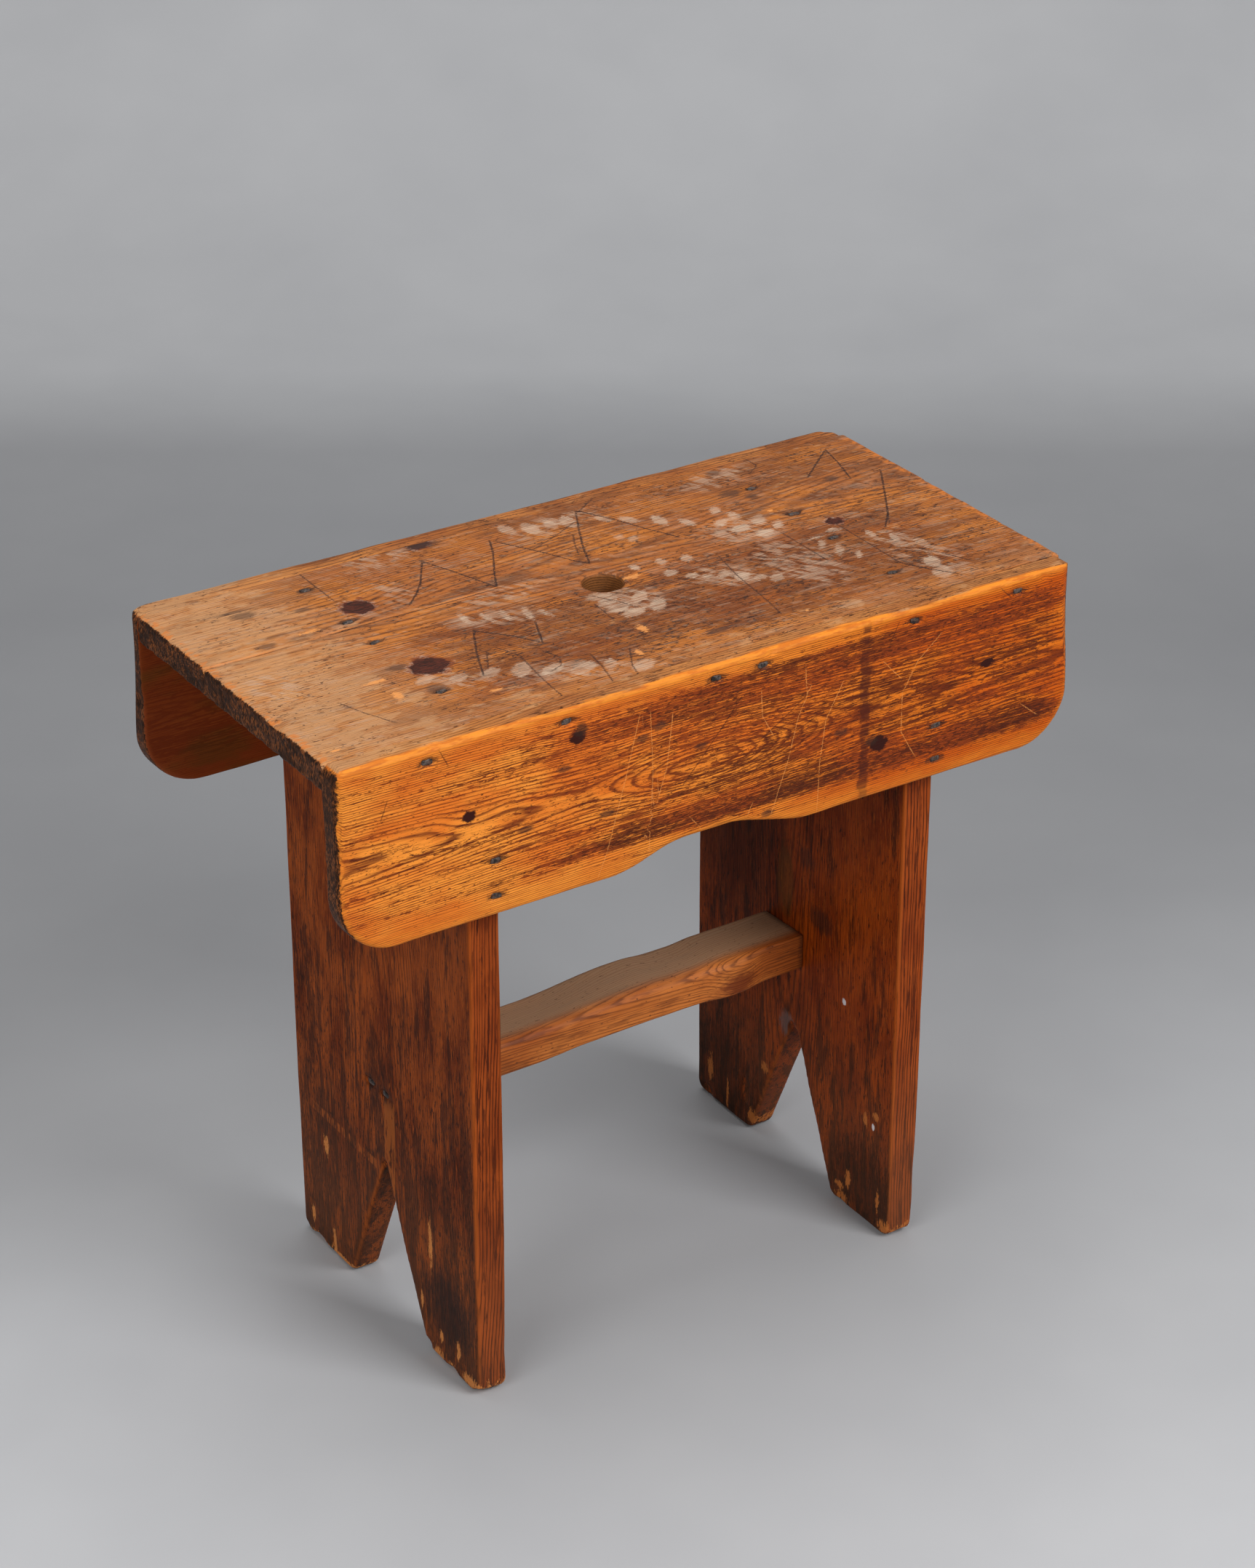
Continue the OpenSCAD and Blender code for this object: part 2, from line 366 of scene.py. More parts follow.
def ticks(low, high, coarse, fine, band, extra=()):
    """Grid lines from low to high: fine within band of either end and in the extra ranges, else coarse."""
    places = [low - 2 * fine]
    while places[-1] < high + 1.5 * fine:
        at = places[-1]
        near_end = at < low + band or at > high - band - coarse
        step = fine if near_end else coarse
        for start, stop, size in extra:
            if start - coarse <= at < stop:
                step = size
        places.append(at + step)
    return np.array(places)


def surface_net(field, axes):
    """Vertices and quads of the zero level of a field sampled on a grid, which is negative inside."""
    inside = field < 0
    cells = tuple(n - 1 for n in field.shape)
    total, count = np.zeros(cells + (3,)), np.zeros(cells)
    crossings = []
    for axis in range(3):
        first = [slice(None)] * 3
        second = [slice(None)] * 3
        first[axis], second[axis] = slice(0, -1), slice(1, None)
        a, b = field[tuple(first)], field[tuple(second)]
        crossed = inside[tuple(first)] != inside[tuple(second)]
        crossings.append((crossed, inside[tuple(first)]))
        share = np.where(crossed, a / np.where(crossed, a - b, 1.0), 0.0)
        place = np.stack(np.meshgrid(*[np.arange(n, dtype=float) for n in a.shape], indexing="ij"), -1)
        place[..., axis] += share
        place *= crossed[..., None]
        u, v = [k for k in range(3) if k != axis]
        for du in (0, 1):
            for dv in (0, 1):
                part = [slice(None)] * 3
                part[u] = slice(du, cells[u] + du)
                part[v] = slice(dv, cells[v] + dv)
                total += place[tuple(part)]
                count += crossed[tuple(part)]
    used = count > 0
    index = np.full(cells, -1)
    index[used] = np.arange(used.sum())
    grid_place = total[used] / count[used][:, None]
    points = np.stack([np.interp(grid_place[:, k], np.arange(len(axes[k])), axes[k]) for k in range(3)], -1)
    return points, net_quads(crossings, index)


def net_quads(crossings, index):
    """One quad round each grid edge that crosses the surface, facing out."""
    quads = []
    for axis, (crossed, first_inside) in enumerate(crossings):
        u, v = (axis + 1) % 3, (axis + 2) % 3
        at = np.argwhere(crossed)
        keep = (at[:, u] > 0) & (at[:, v] > 0)
        keep &= (at[:, u] < crossed.shape[u] - 1) & (at[:, v] < crossed.shape[v] - 1)
        at = at[keep]
        corners = []
        for du, dv in ((-1, -1), (0, -1), (0, 0), (-1, 0)):
            cell = at.copy()
            cell[:, u] += du
            cell[:, v] += dv
            corners.append(index[tuple(cell.T)])
        ring = np.stack(corners, -1)
        outward = first_inside[tuple(at.T)]
        quads.append(np.where(outward[:, None], ring, ring[:, ::-1]))
    return np.concatenate(quads)


def add_mesh(name, points, quads, attributes, material):
    """A smooth-shaded mesh object in metres, with number attributes on its points."""
    mesh = bpy.data.meshes.new(name)
    mesh.vertices.add(len(points))
    mesh.vertices.foreach_set("co", (points * MM).astype(np.float32).ravel())
    mesh.loops.add(quads.size)
    mesh.loops.foreach_set("vertex_index", quads.astype(np.int32).ravel())
    mesh.polygons.add(len(quads))
    mesh.polygons.foreach_set("loop_start", np.arange(0, quads.size, 4, dtype=np.int32))
    mesh.polygons.foreach_set("use_smooth", np.ones(len(quads), bool))
    for key, values in attributes.items():
        layer = mesh.attributes.new(key, "FLOAT", "POINT")
        layer.data.foreach_set("value", np.asarray(values, np.float32))
    mesh.update(calc_edges=True)
    mesh.validate()
    mesh.materials.append(material)
    piece = bpy.data.objects.new(name, mesh)
    bpy.context.scene.collection.objects.link(piece)
    return piece


def carve(name, node, shape, axes, material, marks=None):
    """Meshes one board's field and puts it in the place of its CAD node."""
    grid = np.meshgrid(*axes, indexing="ij", sparse=True)
    field = np.broadcast_to(shape(grid)["solid"], [len(a) for a in axes])
    points, quads = surface_net(field, axes)
    fields = shape(points.T)
    attributes = {"rim": np.clip(fields["rim"], -2, 40), "deep": np.clip(fields["deep"], -2, 12)}
    if marks:
        attributes.update(marks(points))
    piece = add_mesh(name, points, quads, attributes, material)
    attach(piece, "root")
    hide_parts(node)
    return piece


# How each row's nails lie: the world axis of the head's length, of its width, and of the way into the wood
INTO_FRONT = ((1, 0, 0), (0, 0, 1), (0, 1, 0))
INTO_BACK = ((1, 0, 0), (0, 0, 1), (0, -1, 0))
INTO_SEAT = ((1, 0, 0), (0, 1, 0), (0, 0, -1))
INTO_LEFT = ((0, 1, 0), (0, 0, 1), (1, 0, 0))
INTO_RIGHT = ((0, 1, 0), (0, 0, 1), (-1, 0, 0))


def drive_nails(node, spots, way, material, seed):
    """One object with every nail of a row, each turned and hammered its own way."""
    random = np.random.default_rng(seed)
    axes = [np.arange(-5.6, 5.61, 0.4), np.arange(-3.6, 3.61, 0.4),
            np.concatenate([np.arange(0.0, 3.6, 0.3), np.arange(3.6, NAIL_LONG + 2, 1.8)])]
    grid = np.meshgrid(*axes, indexing="ij", sparse=True)
    points, quads, count = [], [], 0
    frame_of = np.array(way, float)
    for k, spot in enumerate(spots):
        field = np.broadcast_to(nail_shape(grid, seed + 0.37 * k), [len(a) for a in axes])
        local, faces = surface_net(field, axes)
        turn = math.radians(random.uniform(-9, 9))
        u = local[:, 0] * math.cos(turn) - local[:, 1] * math.sin(turn)
        v = local[:, 0] * math.sin(turn) + local[:, 1] * math.cos(turn)
        points.append(np.stack([u, v, local[:, 2]], -1) @ frame_of + np.array(spot))
        quads.append((faces if np.linalg.det(frame_of) > 0 else faces[:, ::-1]) + count)
        count += len(local)
    piece = add_mesh(node + "_hammered", np.concatenate(points), np.concatenate(quads), {}, material)
    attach(piece, "root")
    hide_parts(node)


# ---- material building

def srgb(red, green, blue):
    """A colour given as 0 to 255 screen values, as the linear colour that a shader takes."""
    shares = [c / 255 for c in (red, green, blue)]
    return (*[c / 12.92 if c < 0.0405 else ((c + 0.055) / 1.055) ** 2.4 for c in shares], 1.0)


class Wire:
    """A number flowing through a material; arithmetic on it adds nodes."""

    def __init__(self, shader, socket):
        self.shader, self.socket = shader, socket

    def math(self, operation, *others):
        return self.shader.math(operation, self, *others)

    def __add__(self, other):
        return self.math("ADD", other)

    def __sub__(self, other):
        return self.math("SUBTRACT", other)

    def __mul__(self, other):
        return self.math("MULTIPLY", other)

    def __truediv__(self, other):
        return self.math("DIVIDE", other)

    def __rsub__(self, other):
        return self.shader.math("SUBTRACT", other, self)

    __radd__, __rmul__ = __add__, __mul__

    def size(self):
        return self.math("ABSOLUTE")

    def most(self, other):
        return self.math("MAXIMUM", other)

    def swing(self, amount):
        """A number that runs from 0 to 1, taken about zero and scaled."""
        return (self - 0.5) * amount

    def step(self, low, high):
        """0 at low, 1 at high, smooth between; low may be the larger."""
        node = self.shader.node("ShaderNodeMapRange", interpolation_type="SMOOTHSTEP")
        self.shader.feed(node.inputs["Value"], self)
        self.shader.feed(node.inputs["From Min"], low)
        self.shader.feed(node.inputs["From Max"], high)
        return Wire(self.shader, node.outputs["Result"])

    def within(self, low, high, soft):
        """1 from low to high, fading out over soft beyond them."""
        return self.step(low - soft, low) * self.step(high + soft, high)


class Shader:
    """A node material under construction."""

    def __init__(self, name):
        self.material = bpy.data.materials.new(name)
        self.material.use_nodes = True
        self.tree = self.material.node_tree
        self.tree.nodes.clear()

    def node(self, kind, **settings):
        made = self.tree.nodes.new(kind)
        for key, value in settings.items():
            setattr(made, key, value)
        return made

    def feed(self, socket, value):
        if isinstance(value, Wire):
            value = value.socket
        if isinstance(value, bpy.types.NodeSocket):
            self.tree.links.new(value, socket)
        else:
            socket.default_value = value

    def math(self, operation, *values):
        node = self.node("ShaderNodeMath", operation=operation)
        for socket, value in zip(node.inputs, values):
            self.feed(socket, value)
        return Wire(self, node.outputs[0])

    def attribute(self, name):
        return Wire(self, self.node("ShaderNodeAttribute", attribute_name=name).outputs["Fac"])

    def place(self):
        """The point being shaded, in millimetres: x, y and z."""
        coordinates = self.node("ShaderNodeTexCoord").outputs["Object"]
        split = self.node("ShaderNodeSeparateXYZ")
        self.feed(split.inputs[0], coordinates)
        return [Wire(self, output) / MM for output in split.outputs]

    def facing_x(self):
        """How squarely the surface faces along the stool: 0 to 1."""
        split = self.node("ShaderNodeSeparateXYZ")
        self.feed(split.inputs[0], self.node("ShaderNodeNewGeometry").outputs["Normal"])
        return Wire(self, split.outputs[0]).size()

    def vector(self, parts):
        node = self.node("ShaderNodeCombineXYZ")
        for socket, value in zip(node.inputs, parts):
            self.feed(socket, value)
        return node.outputs[0]

    def noise(self, parts, sizes, detail=2.0, rough=0.5, seed=0.0):
        """Noise from 0 to 1, about 0.5, whose bumps have these sizes in millimetres along each part."""
        scaled = [part / size + seed for part, size in zip(parts, sizes)]
        node = self.node("ShaderNodeTexNoise")
        self.feed(node.inputs["Vector"], self.vector(scaled))
        for key, value in (("Scale", 1.0), ("Detail", detail), ("Roughness", rough)):
            node.inputs[key].default_value = value
        return Wire(self, node.outputs["Fac"])

    def colour(self, share, a, b, blend="MIX"):
        """Colour a, going to b as share goes from 0 to 1; a plain colour is in 0 to 255 screen values."""
        node = self.node("ShaderNodeMix", data_type="RGBA", blend_type=blend)
        for place, value in ((0, share), (6, a), (7, b)):
            self.feed(node.inputs[place], srgb(*value) if isinstance(value, tuple) else value)
        return node.outputs[2]

    def ramp(self, value, stops):
        """A number read off a curve of (place, height) stops."""
        node = self.node("ShaderNodeValToRGB")
        elements = node.color_ramp.elements
        while len(elements) < len(stops):
            elements.new(1.0)
        for element, (place, height) in zip(elements, stops):
            element.position = place
            element.color = (height, height, height, 1.0)
        self.feed(node.inputs[0], value)
        return Wire(self, node.outputs[0])

    def finish(self, colour, roughness, height, bump=0.6, specular=0.1, metallic=0.0):
        """The surface: bump heights are in millimetres."""
        relief = self.node("ShaderNodeBump")
        relief.inputs["Strength"].default_value = bump
        relief.inputs["Distance"].default_value = MM
        self.feed(relief.inputs["Height"], height)
        surface = self.node("ShaderNodeBsdfPrincipled")
        self.feed(surface.inputs["Base Color"], colour)
        self.feed(surface.inputs["Roughness"], roughness)
        self.feed(surface.inputs["Metallic"], metallic)
        self.feed(surface.inputs["Normal"], relief.outputs[0])
        surface.inputs["Specular IOR Level"].default_value = specular
        output = self.node("ShaderNodeOutputMaterial")
        self.feed(output.inputs["Surface"], surface.outputs[0])
        return self.material


# How dark a growth ring is from one winter to the next: pale spring wood, then a hard dark edge
LATE_CURVE = [(0.0, 0.5), (0.07, 0.08), (0.45, 0.0), (0.68, 0.25), (0.82, 0.95), (0.95, 1.0), (1.0, 0.5)]
SPREAD = 0.42                               # how far a noise's threshold moves from covering none to all


class Wood(Shader):
    """Solid pine, painted over layer by layer.

    order gives the axes that run along, across and through the board. The growth rings lie spacing apart
    round a pith, given across and through the board, and tilted against its length. Knots and ovals bend
    them.
    """

    def __init__(self, name, order, pith, tilt, spacing, knots=(), seed=0.0, bow=9.0, dip=4.0, ovals=()):
        super().__init__(name)
        self.xyz = self.place()
        self.along, self.wide, self.thick = [self.xyz["xyz".index(letter)] for letter in order]
        self.parts = (self.along, self.wide, self.thick)
        self.seed = seed
        self.rim, self.deep = self.attribute("rim"), self.attribute("deep")
        bend = self.grain((210, 90, 90), 2, 0.5, seed).swing(bow)
        drift = self.grain((160, 110, 110), 1, 0.5, seed + 5).swing(dip)
        across = self.wide - pith[0] - self.along * tilt[0] + bend
        through = self.thick - pith[1] - self.along * tilt[1] + drift
        radius = (across * across + through * through).math("SQRT")
        self.knot = self.knots_into(knots)
        for at_along, at_wide, long, high, drop in ovals:
            a, b = (self.along - at_along) / long, (self.wide - at_wide) / high
            self.swell = self.swell - (a * a + b * b).math("SQRT").step(1.0, 0.0) * drop
        waver = self.grain((30, 2.4, 3), 2, 0.6, seed + 8).swing(0.6 * spacing)
        year = (radius + self.swell + waver) / spacing
        year = year + self.noise((radius, 0.0, 0.0), (7, 1, 1), 1, 0.5, seed + 9) * 3.0
        self.late = self.ramp(year.math("FRACT"), LATE_CURVE)
        self.fibre = self.grain((24, 0.6, 0.9), 2, 0.6, seed + 2)
        self.streak = self.grain((60, 2.6, 4), 3, 0.6, seed + 3)
        self.cloud = self.grain((70, 30, 40), 3, 0.6, seed + 4)
        self.grit = self.grain((1.6, 1.0, 1.0), 2, 0.7, seed + 6)
        self.chaff = self.grain((4.5, 1.0, 1.4), 3, 0.65, seed + 7)

    def grain(self, sizes, detail, rough, seed):
        """Noise with sizes along, across and through the board."""
        return self.noise(self.parts, sizes, detail, rough, seed)

    def paint(self, share, colour, blend="MIX"):
        """Lays a colour over the wood as share goes from 0 to 1."""
        self.tone = self.colour(share, self.tone, colour, blend)

    def rings(self, pale, deep, dark, strength):
        """Bare pine: pale spring wood, varied, ruled with the dark winter edge of each ring."""
        self.tone = self.colour(self.cloud.step(0.35, 0.65), pale, deep)
        self.paint(self.fibre.step(0.45, 0.75) * 0.4, dark)
        worn = self.streak.step(0.25, 0.55) * 0.5 + 0.5
        self.paint(self.late * worn * strength, dark)

    def rings_over(self, share, *colours):
        """The same, laid over what is there as share goes from 0 to 1."""
        below = self.tone
        self.rings(*colours)
        self.tone = self.colour(share, below, self.tone)

    def knots_into(self, knots):
        """Adds up the knots: sets swell, which bends the rings round them, and returns how much is knot."""
        self.swell, shown = self.along * 0.0, self.along * 0.0
        for along, wide, radius, long in knots:
            a, b = (self.along - along) / long, self.wide - wide
            away = (a * a + b * b).math("SQRT") / radius
            stretched = (a * a * 0.16 + b * b).math("SQRT") / radius
            self.swell = stretched.step(2.6, 0.2) * (0.3 * radius) + self.swell
            ragged = self.grain((0.9 * radius, 0.7 * radius, 0.7 * radius), 3, 0.6, self.seed + 12) - 0.5
            shown = (away + ragged * 1.3).step(1.2, 0.65) + shown
        return shown

    def patches(self, sizes, share, soft=0.04, detail=3.0, seed=0.0, push=0.0):
        """1 in patches of about these sizes that cover about this share of the surface, 0 between them."""
        return self.most_of(self.grain(sizes, detail, 0.62, self.seed + seed) + push, share, soft)

    def shared(self, sizes, share, soft, detail, seed):
        """The same with sizes along x, y and z, and one set of patches running across all boards."""
        return self.most_of(self.noise(self.xyz, sizes, detail, 0.62, seed), share, soft)

    @staticmethod
    def most_of(field, share, soft):
        level = (0.5 - share) * SPREAD + 0.5
        return field.step(level - soft, level + soft)

    def spot(self, axes, place, radii, soft=0.35, jagged=1.4):
        """1 inside a ragged ellipse or ellipsoid about a place given along these axes."""
        total = 0.0
        for axis, centre, radius in zip(axes, place, radii):
            q = (self.xyz["xyz".index(axis)] - centre) / radius
            total = q * q + total
        ragged = total.math("SQRT") + self.streak.swing(1.6) + self.chaff.swing(jagged)
        return ragged.step(1 + soft, 1 - soft)

    def spots(self, axes, places, share, colour, soft=0.35, jagged=1.4):
        """Paints a spot of one colour at each (centre, half sizes)."""
        for place, radii in places:
            self.paint(self.spot(axes, place, radii, soft, jagged) * share, colour)

    def wiped(self):
        """Broken streaks of thin paint, wiped across the grain."""
        a, b = self.along * 0.8 + self.wide * 0.6, self.wide * 0.8 - self.along * 0.6
        streaks = self.noise((a, b, self.thick), (4.5, 16, 6), 3, 0.65, self.seed + 20)
        return streaks.step(0.42, 0.58) * self.fibre.step(0.7, 0.4)

    def line(self, name, half, ragged=1.2):
        """A thin broken line along the paths marked on the mesh by name."""
        side = self.attribute(name) + self.grit.swing(ragged) + self.chaff.swing(ragged) * 0.5
        return side.size().step(half * 1.4, half * 0.6) * self.attribute(name + "_on")

    def end_grain(self, shown, pale, dark):
        """Sawn ends: open fibres that have soaked up dirt."""
        pits = self.noise(self.xyz, (5, 1.3, 3.2), 4, 0.7, self.seed + 40)
        soaked = self.noise(self.xyz, (20, 14, 9), 3, 0.6, self.seed + 41)
        dry = pits.step(0.44, 0.6) * (1 - self.late * 0.6) * (soaked.step(0.34, 0.56) * 0.8 + 0.2)
        self.paint(shown, self.colour(dry, dark, pale))

    def board_ends(self, pale, dark):
        """End grain on a long board's sawn ends and on the broken fibres of the arris round them."""
        teeth = self.noise(self.xyz, (9, 1.7, 2.6), 3, 0.7, self.seed + 42).swing(0.9)
        ends = (self.facing_x() + teeth).step(0.52, 0.72) * self.xyz[0].size().step(225, 232)
        self.end_grain(ends, pale, dark)

    def nail_stain(self):
        """The stain that iron leaves in the wood round each nail."""
        halo = self.attribute("halo") + self.streak.swing(5) + self.grit.swing(3)
        self.paint(halo.step(0.4, 2.2) * 0.75, (48, 30, 24))


# ---- marks on the seat

def path_marks(x, y, paths):
    """Signed distance across the nearest stroke, and how much of a stroke is there."""
    best = np.full(len(x), 1e9)
    side, on = np.full(len(x), 9.0), np.zeros(len(x))
    for path in paths:
        for (ax, ay), (bx, by) in zip(path, path[1:]):
            length = math.hypot(bx - ax, by - ay)
            ux, uy = (bx - ax) / length, (by - ay) / length
            t = (x - ax) * ux + (y - ay) * uy
            s = (y - ay) * ux - (x - ax) * uy
            beyond = np.maximum(np.maximum(-t, t - length), 0)
            away = np.hypot(beyond, s)
            nearer = away < best
            best = np.where(nearer, away, best)
            side = np.where(nearer, s, side)
            on = np.where(nearer, fade(away, 4.0, 2.0) * fade(beyond, 2.5, 0.0), on)
    return side, on


def dab_marks(x, y, dabs):
    """Distance in from the nearest dab's edge, positive inside it."""
    best = np.full(len(x), -3.0)
    for cx, cy, long, wide, turn in dabs:
        c, s = math.cos(math.radians(turn)), math.sin(math.radians(turn))
        u, v = (x - cx) * c + (y - cy) * s, (y - cy) * c - (x - cx) * s
        inside = (1 - (np.abs(u / long) ** 1.7 + np.abs(v / wide) ** 1.7) ** (1 / 1.7)) * min(long, wide)
        best = np.maximum(best, inside)
    return best


# Scored zigzags and strokes on the seat
ZIGZAG = [
    [(-119, 41), (-108, 52), (-98, 64), (-80, 93), (-71, 68), (-60, 34), (-52, 50), (-35, 80), (-28, 96)],
    [(-24, 92), (-8, 62), (1, 42), (8, 32), (17, 54), (30, 80), (45, 108), (58, 82), (68, 57), (78, 36)],
    [(-131, -68), (-119, -40), (-105, -13), (-88, -33), (-78, -50), (-67, -24)],
    [(205, 70), (222, 85), (242, 102), (236, 78), (228, 54)],
    [(252, 52), (232, 20), (214, -8), (200, -24)],
    [(175, -74), (185, -92), (195, -106)],
]
STROKES = [
    [(10, 49), (16, 63), (22, 74)], [(47, 106), (60, 115), (72, 123)], [(-10, 70), (12, 80), (34, 92)],
    [(-105, -42), (-99, -58), (-104, -90), (-107, -126)], [(-84, -60), (-80, -73), (-85, -83), (-93, -86)],
    [(83, -4), (77, -32), (71, -78), (68, -94)], [(138, 4), (138, -45)], [(176, -4), (175, -72)],
    [(-62, -80), (-66, -101), (-71, -120)], [(-38, -86), (-49, -106), (-55, -126)],
    [(-222, -56), (-216, -74), (-207, -94)], [(198, -62), (207, -78), (215, -95)],
    [(217, -3), (206, -20)], [(-17, -10), (-6, -28), (-2, -38)], [(-22, -22), (-24, -46)],
    [(187, 122), (187, 104), (178, 98)], [(-115, -46), (-124, -62)], [(-155, 128), (-156, 72)],
]
# Rows of whitish paint dabs: where a row starts and ends, how many, their half size, and their turn
DAB_ROWS = [
    ((-165, -57), (-125, -71), 3, (7, 4.2), 35), ((-108, -77), (-44, -107), 5, (8, 4.5), 40),
    ((-101, 6), (-53, -17), 5, (9, 2.6), 88), ((-9, 103), (32, 94), 4, (8, 4.6), 80),
    ((52, 88), (95, 50), 4, (7, 3.6), 100), ((122, 56), (143, 19), 4, (6.5, 3.4), 65),
    ((113, 38), (128, 12), 3, (7, 4.5), 30), ((30, 13), (63, 6), 3, (4.5, 3.4), 70),
    ((43, -9), (97, -52), 7, (5.2, 4.0), 20), ((-14, -12), (-8, -44), 4, (8, 4.8), 15),
    ((7, -26), (12, -45), 2, (8, 4.0), 30), ((150, -24), (160, -48), 3, (7, 2.4), 70),
    ((193, -83), (190, -100), 2, (7, 5), 60), ((45, 57), (53, 47), 2, (5, 3.4), 60),
    ((154, -11), (169, -12), 2, (5, 2), 5), ((185, -30), (205, -55), 3, (7, 3), 70),
]
# Thin wiped films of the same paint: centre, half sizes and turn
FILMS = [
    (-100, 112, 24, 15, 10), (-120, 62, 12, 16, 0), (22, 96, 34, 13, 8), (118, 22, 28, 22, -30),
    (122, -40, 22, 42, 8), (0, -28, 22, 20, 0), (-86, -4, 26, 11, -15), (-150, -66, 20, 10, -30),
    (196, -66, 16, 44, 12), (-80, -94, 34, 12, -18), (150, 100, 26, 12, 10), (-62, 22, 34, 12, 5),
    (70, -30, 26, 16, -35), (-245, -15, 14, 20, 0),
]


def dabs():
    """Every dab of every row, jittered so that no two are alike."""
    random = np.random.default_rng(5)
    found = []
    for start, end, count, (long, wide), turn in DAB_ROWS:
        for k in range(count):
            t = k / max(count - 1, 1)
            x = mix(start[0], end[0], t) + random.uniform(-1.5, 1.5)
            y = mix(start[1], end[1], t) + random.uniform(-2.5, 2.5)
            grow = random.uniform(0.9, 1.45)
            found.append((x, y, long * grow, wide * grow, turn + random.uniform(-18, 18)))
    return found


def seat_marks(points):
    x, y, z = points.T
    top = z > SEAT_HIGH[2] - 4
    found = {}
    for key, paths in (("zigzag", ZIGZAG), ("stroke", STROKES)):
        side, on = path_marks(x, y, paths)
        found[key], found[key + "_on"] = side, on * top
    found["dab"] = np.where(top, dab_marks(x, y, dabs()), -3)
    found["film"] = np.where(top, dab_marks(x, y, FILMS), -3)
    nails = [(a, b, 9, 4.5, 0) for a, b, _ in LEFT_TOP_NAILS + RIGHT_TOP_NAILS]
    found["halo"] = np.where(top, dab_marks(x, y, nails), -3)
    found["crack"], found["crack_on"] = y - crack_y(x), fade(x, CRACK_END_X, CRACK_END_X - 60)
    return found


# Scratches on the front apron, as (x, z): pale ones, then dark ones
PALE_SCRATCHES = [
    [(-62, 470), (-72, 430), (-85, 385), (-92, 368)], [(-54, 470), (-52, 430), (-55, 374)],
    [(-38, 465), (-42, 430), (-50, 405), (-58, 388)], [(64, 456), (55, 438), (48, 410), (36, 376)],
    [(88, 452), (76, 430), (72, 400), (71, 368)], [(27, 462), (28, 446), (36, 431)],
    [(21, 386), (18, 380)], [(135, 432), (135, 405), (146, 386)], [(163, 466), (146, 452), (137, 436)],
    [(120, 458), (133, 444)], [(-24, 390), (-16, 380)], [(232, 398), (244, 388)], [(60, 470), (61, 452)],
]
DARK_SCRATCHES = [
    [(12, 463), (-2, 446), (-18, 428), (-30, 415)], [(52, 428), (68, 434)],
    [(27, 430), (44, 440), (62, 452)], [(-200, 486), (-195, 476)], [(130, 482), (124, 470)],
    [(210, 486), (218, 478)], [(-240, 452), (-236, 462)],
]


def apron_marks(spots, pale, dark):
    """Scratches, and the stain that iron leaves along the grain round each nail."""
    def marks(points):
        x, _, z = points.T
        found = {}
        for key, paths in (("pale", pale), ("dark", dark)):
            found[key], found[key + "_on"] = path_marks(x, z, paths)
        found["halo"] = dab_marks(x, z, [(a, b, 11, 3.6, 0) for a, _, b in spots])
        return found
    return marks


def leg_marks(spots):
    def marks(points):
        return {"halo": dab_marks(points[:, 1], points[:, 2], [(a, b, 4, 8, 0) for _, a, b in spots])}
    return marks


# ---- the boards' materials

GRIME = (52, 32, 25)


def weather(w):
    """The flat top of the stool: dull and bare patches, dust that lies on it, and dirt in its grain.

    The seat and the tops of both aprons share it, so that it runs on across their seams. Its pale film
    towards the left end and along the front edge is partly dust and partly a painted sheen.
    """
    x, y, z = w.xyz
    # Darker over the front middle of the top: more dark patches there and less of the pale film.
    darker_front_middle = y.within(-84, -14, 26) * x.within(-110, 190, 50)
    share = y.step(20, 110) * 0.2 + x.step(90, 220) * 0.2 + darker_front_middle * 0.5 + 0.2
    w.paint(w.shared((60, 14, 20), share, 0.08, 3.0, 31) * 0.6, (98, 50, 24))
    w.paint(w.shared((50, 5, 6), 0.3, 0.07, 3.0, 37) * 0.35, (92, 48, 24))
    # Paler towards the left end and along the front edge: partly dust, partly a painted sheen, laid on by
    # the thin film and the settled specks below.
    dust = (x.step(-120, -235) * 0.66).most(y.step(-84, -112) * 0.3).most(0.08)
    clouds = w.noise((x, y, z), (70, 30, 40), 3, 0.6, 5)
    thin = dust * 0.7 + clouds.swing(0.6) - darker_front_middle * 0.14
    w.paint(thin * (1 - w.late * 0.5), (188, 139, 92))
    settled = w.shared((22, 9, 9), dust * 0.95, 0.06, 4.0, 34)
    w.paint(settled * (w.fibre.step(0.62, 0.45) * 0.2 + 0.3), (192, 146, 102))
    w.paint(w.shared((40, 5, 6), 0.22, 0.06, 3.0, 35) * 0.2, (192, 120, 54))
    w.paint(w.shared((30, 0.7, 1.2), 0.3, 0.03, 2.0, 39) * 0.3, (80, 40, 22))
    busy = x.step(-210, -100) * 0.5 + 0.5
    damp = w.shared((45, 22, 30), 0.4, 0.12, 3.0, 41) * 0.14 + darker_front_middle * 0.08
    w.paint(w.shared((9, 1.5, 2), busy * 0.22 + damp, 0.02, 3.0, 32) * 0.8, (70, 36, 20))
    w.paint(w.shared((3.6, 2.2, 3), busy * 0.14 + damp, 0.02, 4.0, 33) * 0.8, (50, 29, 20))


def dusty_top(w, shown):
    """An apron's top edge, worn and dusty like the seat beside it, with the same painted sheen towards its
    left end.
    """
    face = w.tone
    w.rings((186, 114, 50), (156, 86, 36), (78, 40, 20), 0.8)
    weather(w)
    w.tone = w.colour(shown, face, w.tone)


def apron_relief(w, fleck, pale):
    return w.late * 0.10 + w.fibre * 0.12 + fleck * 0.03 + pale * -0.2 + w.grit * 0.04


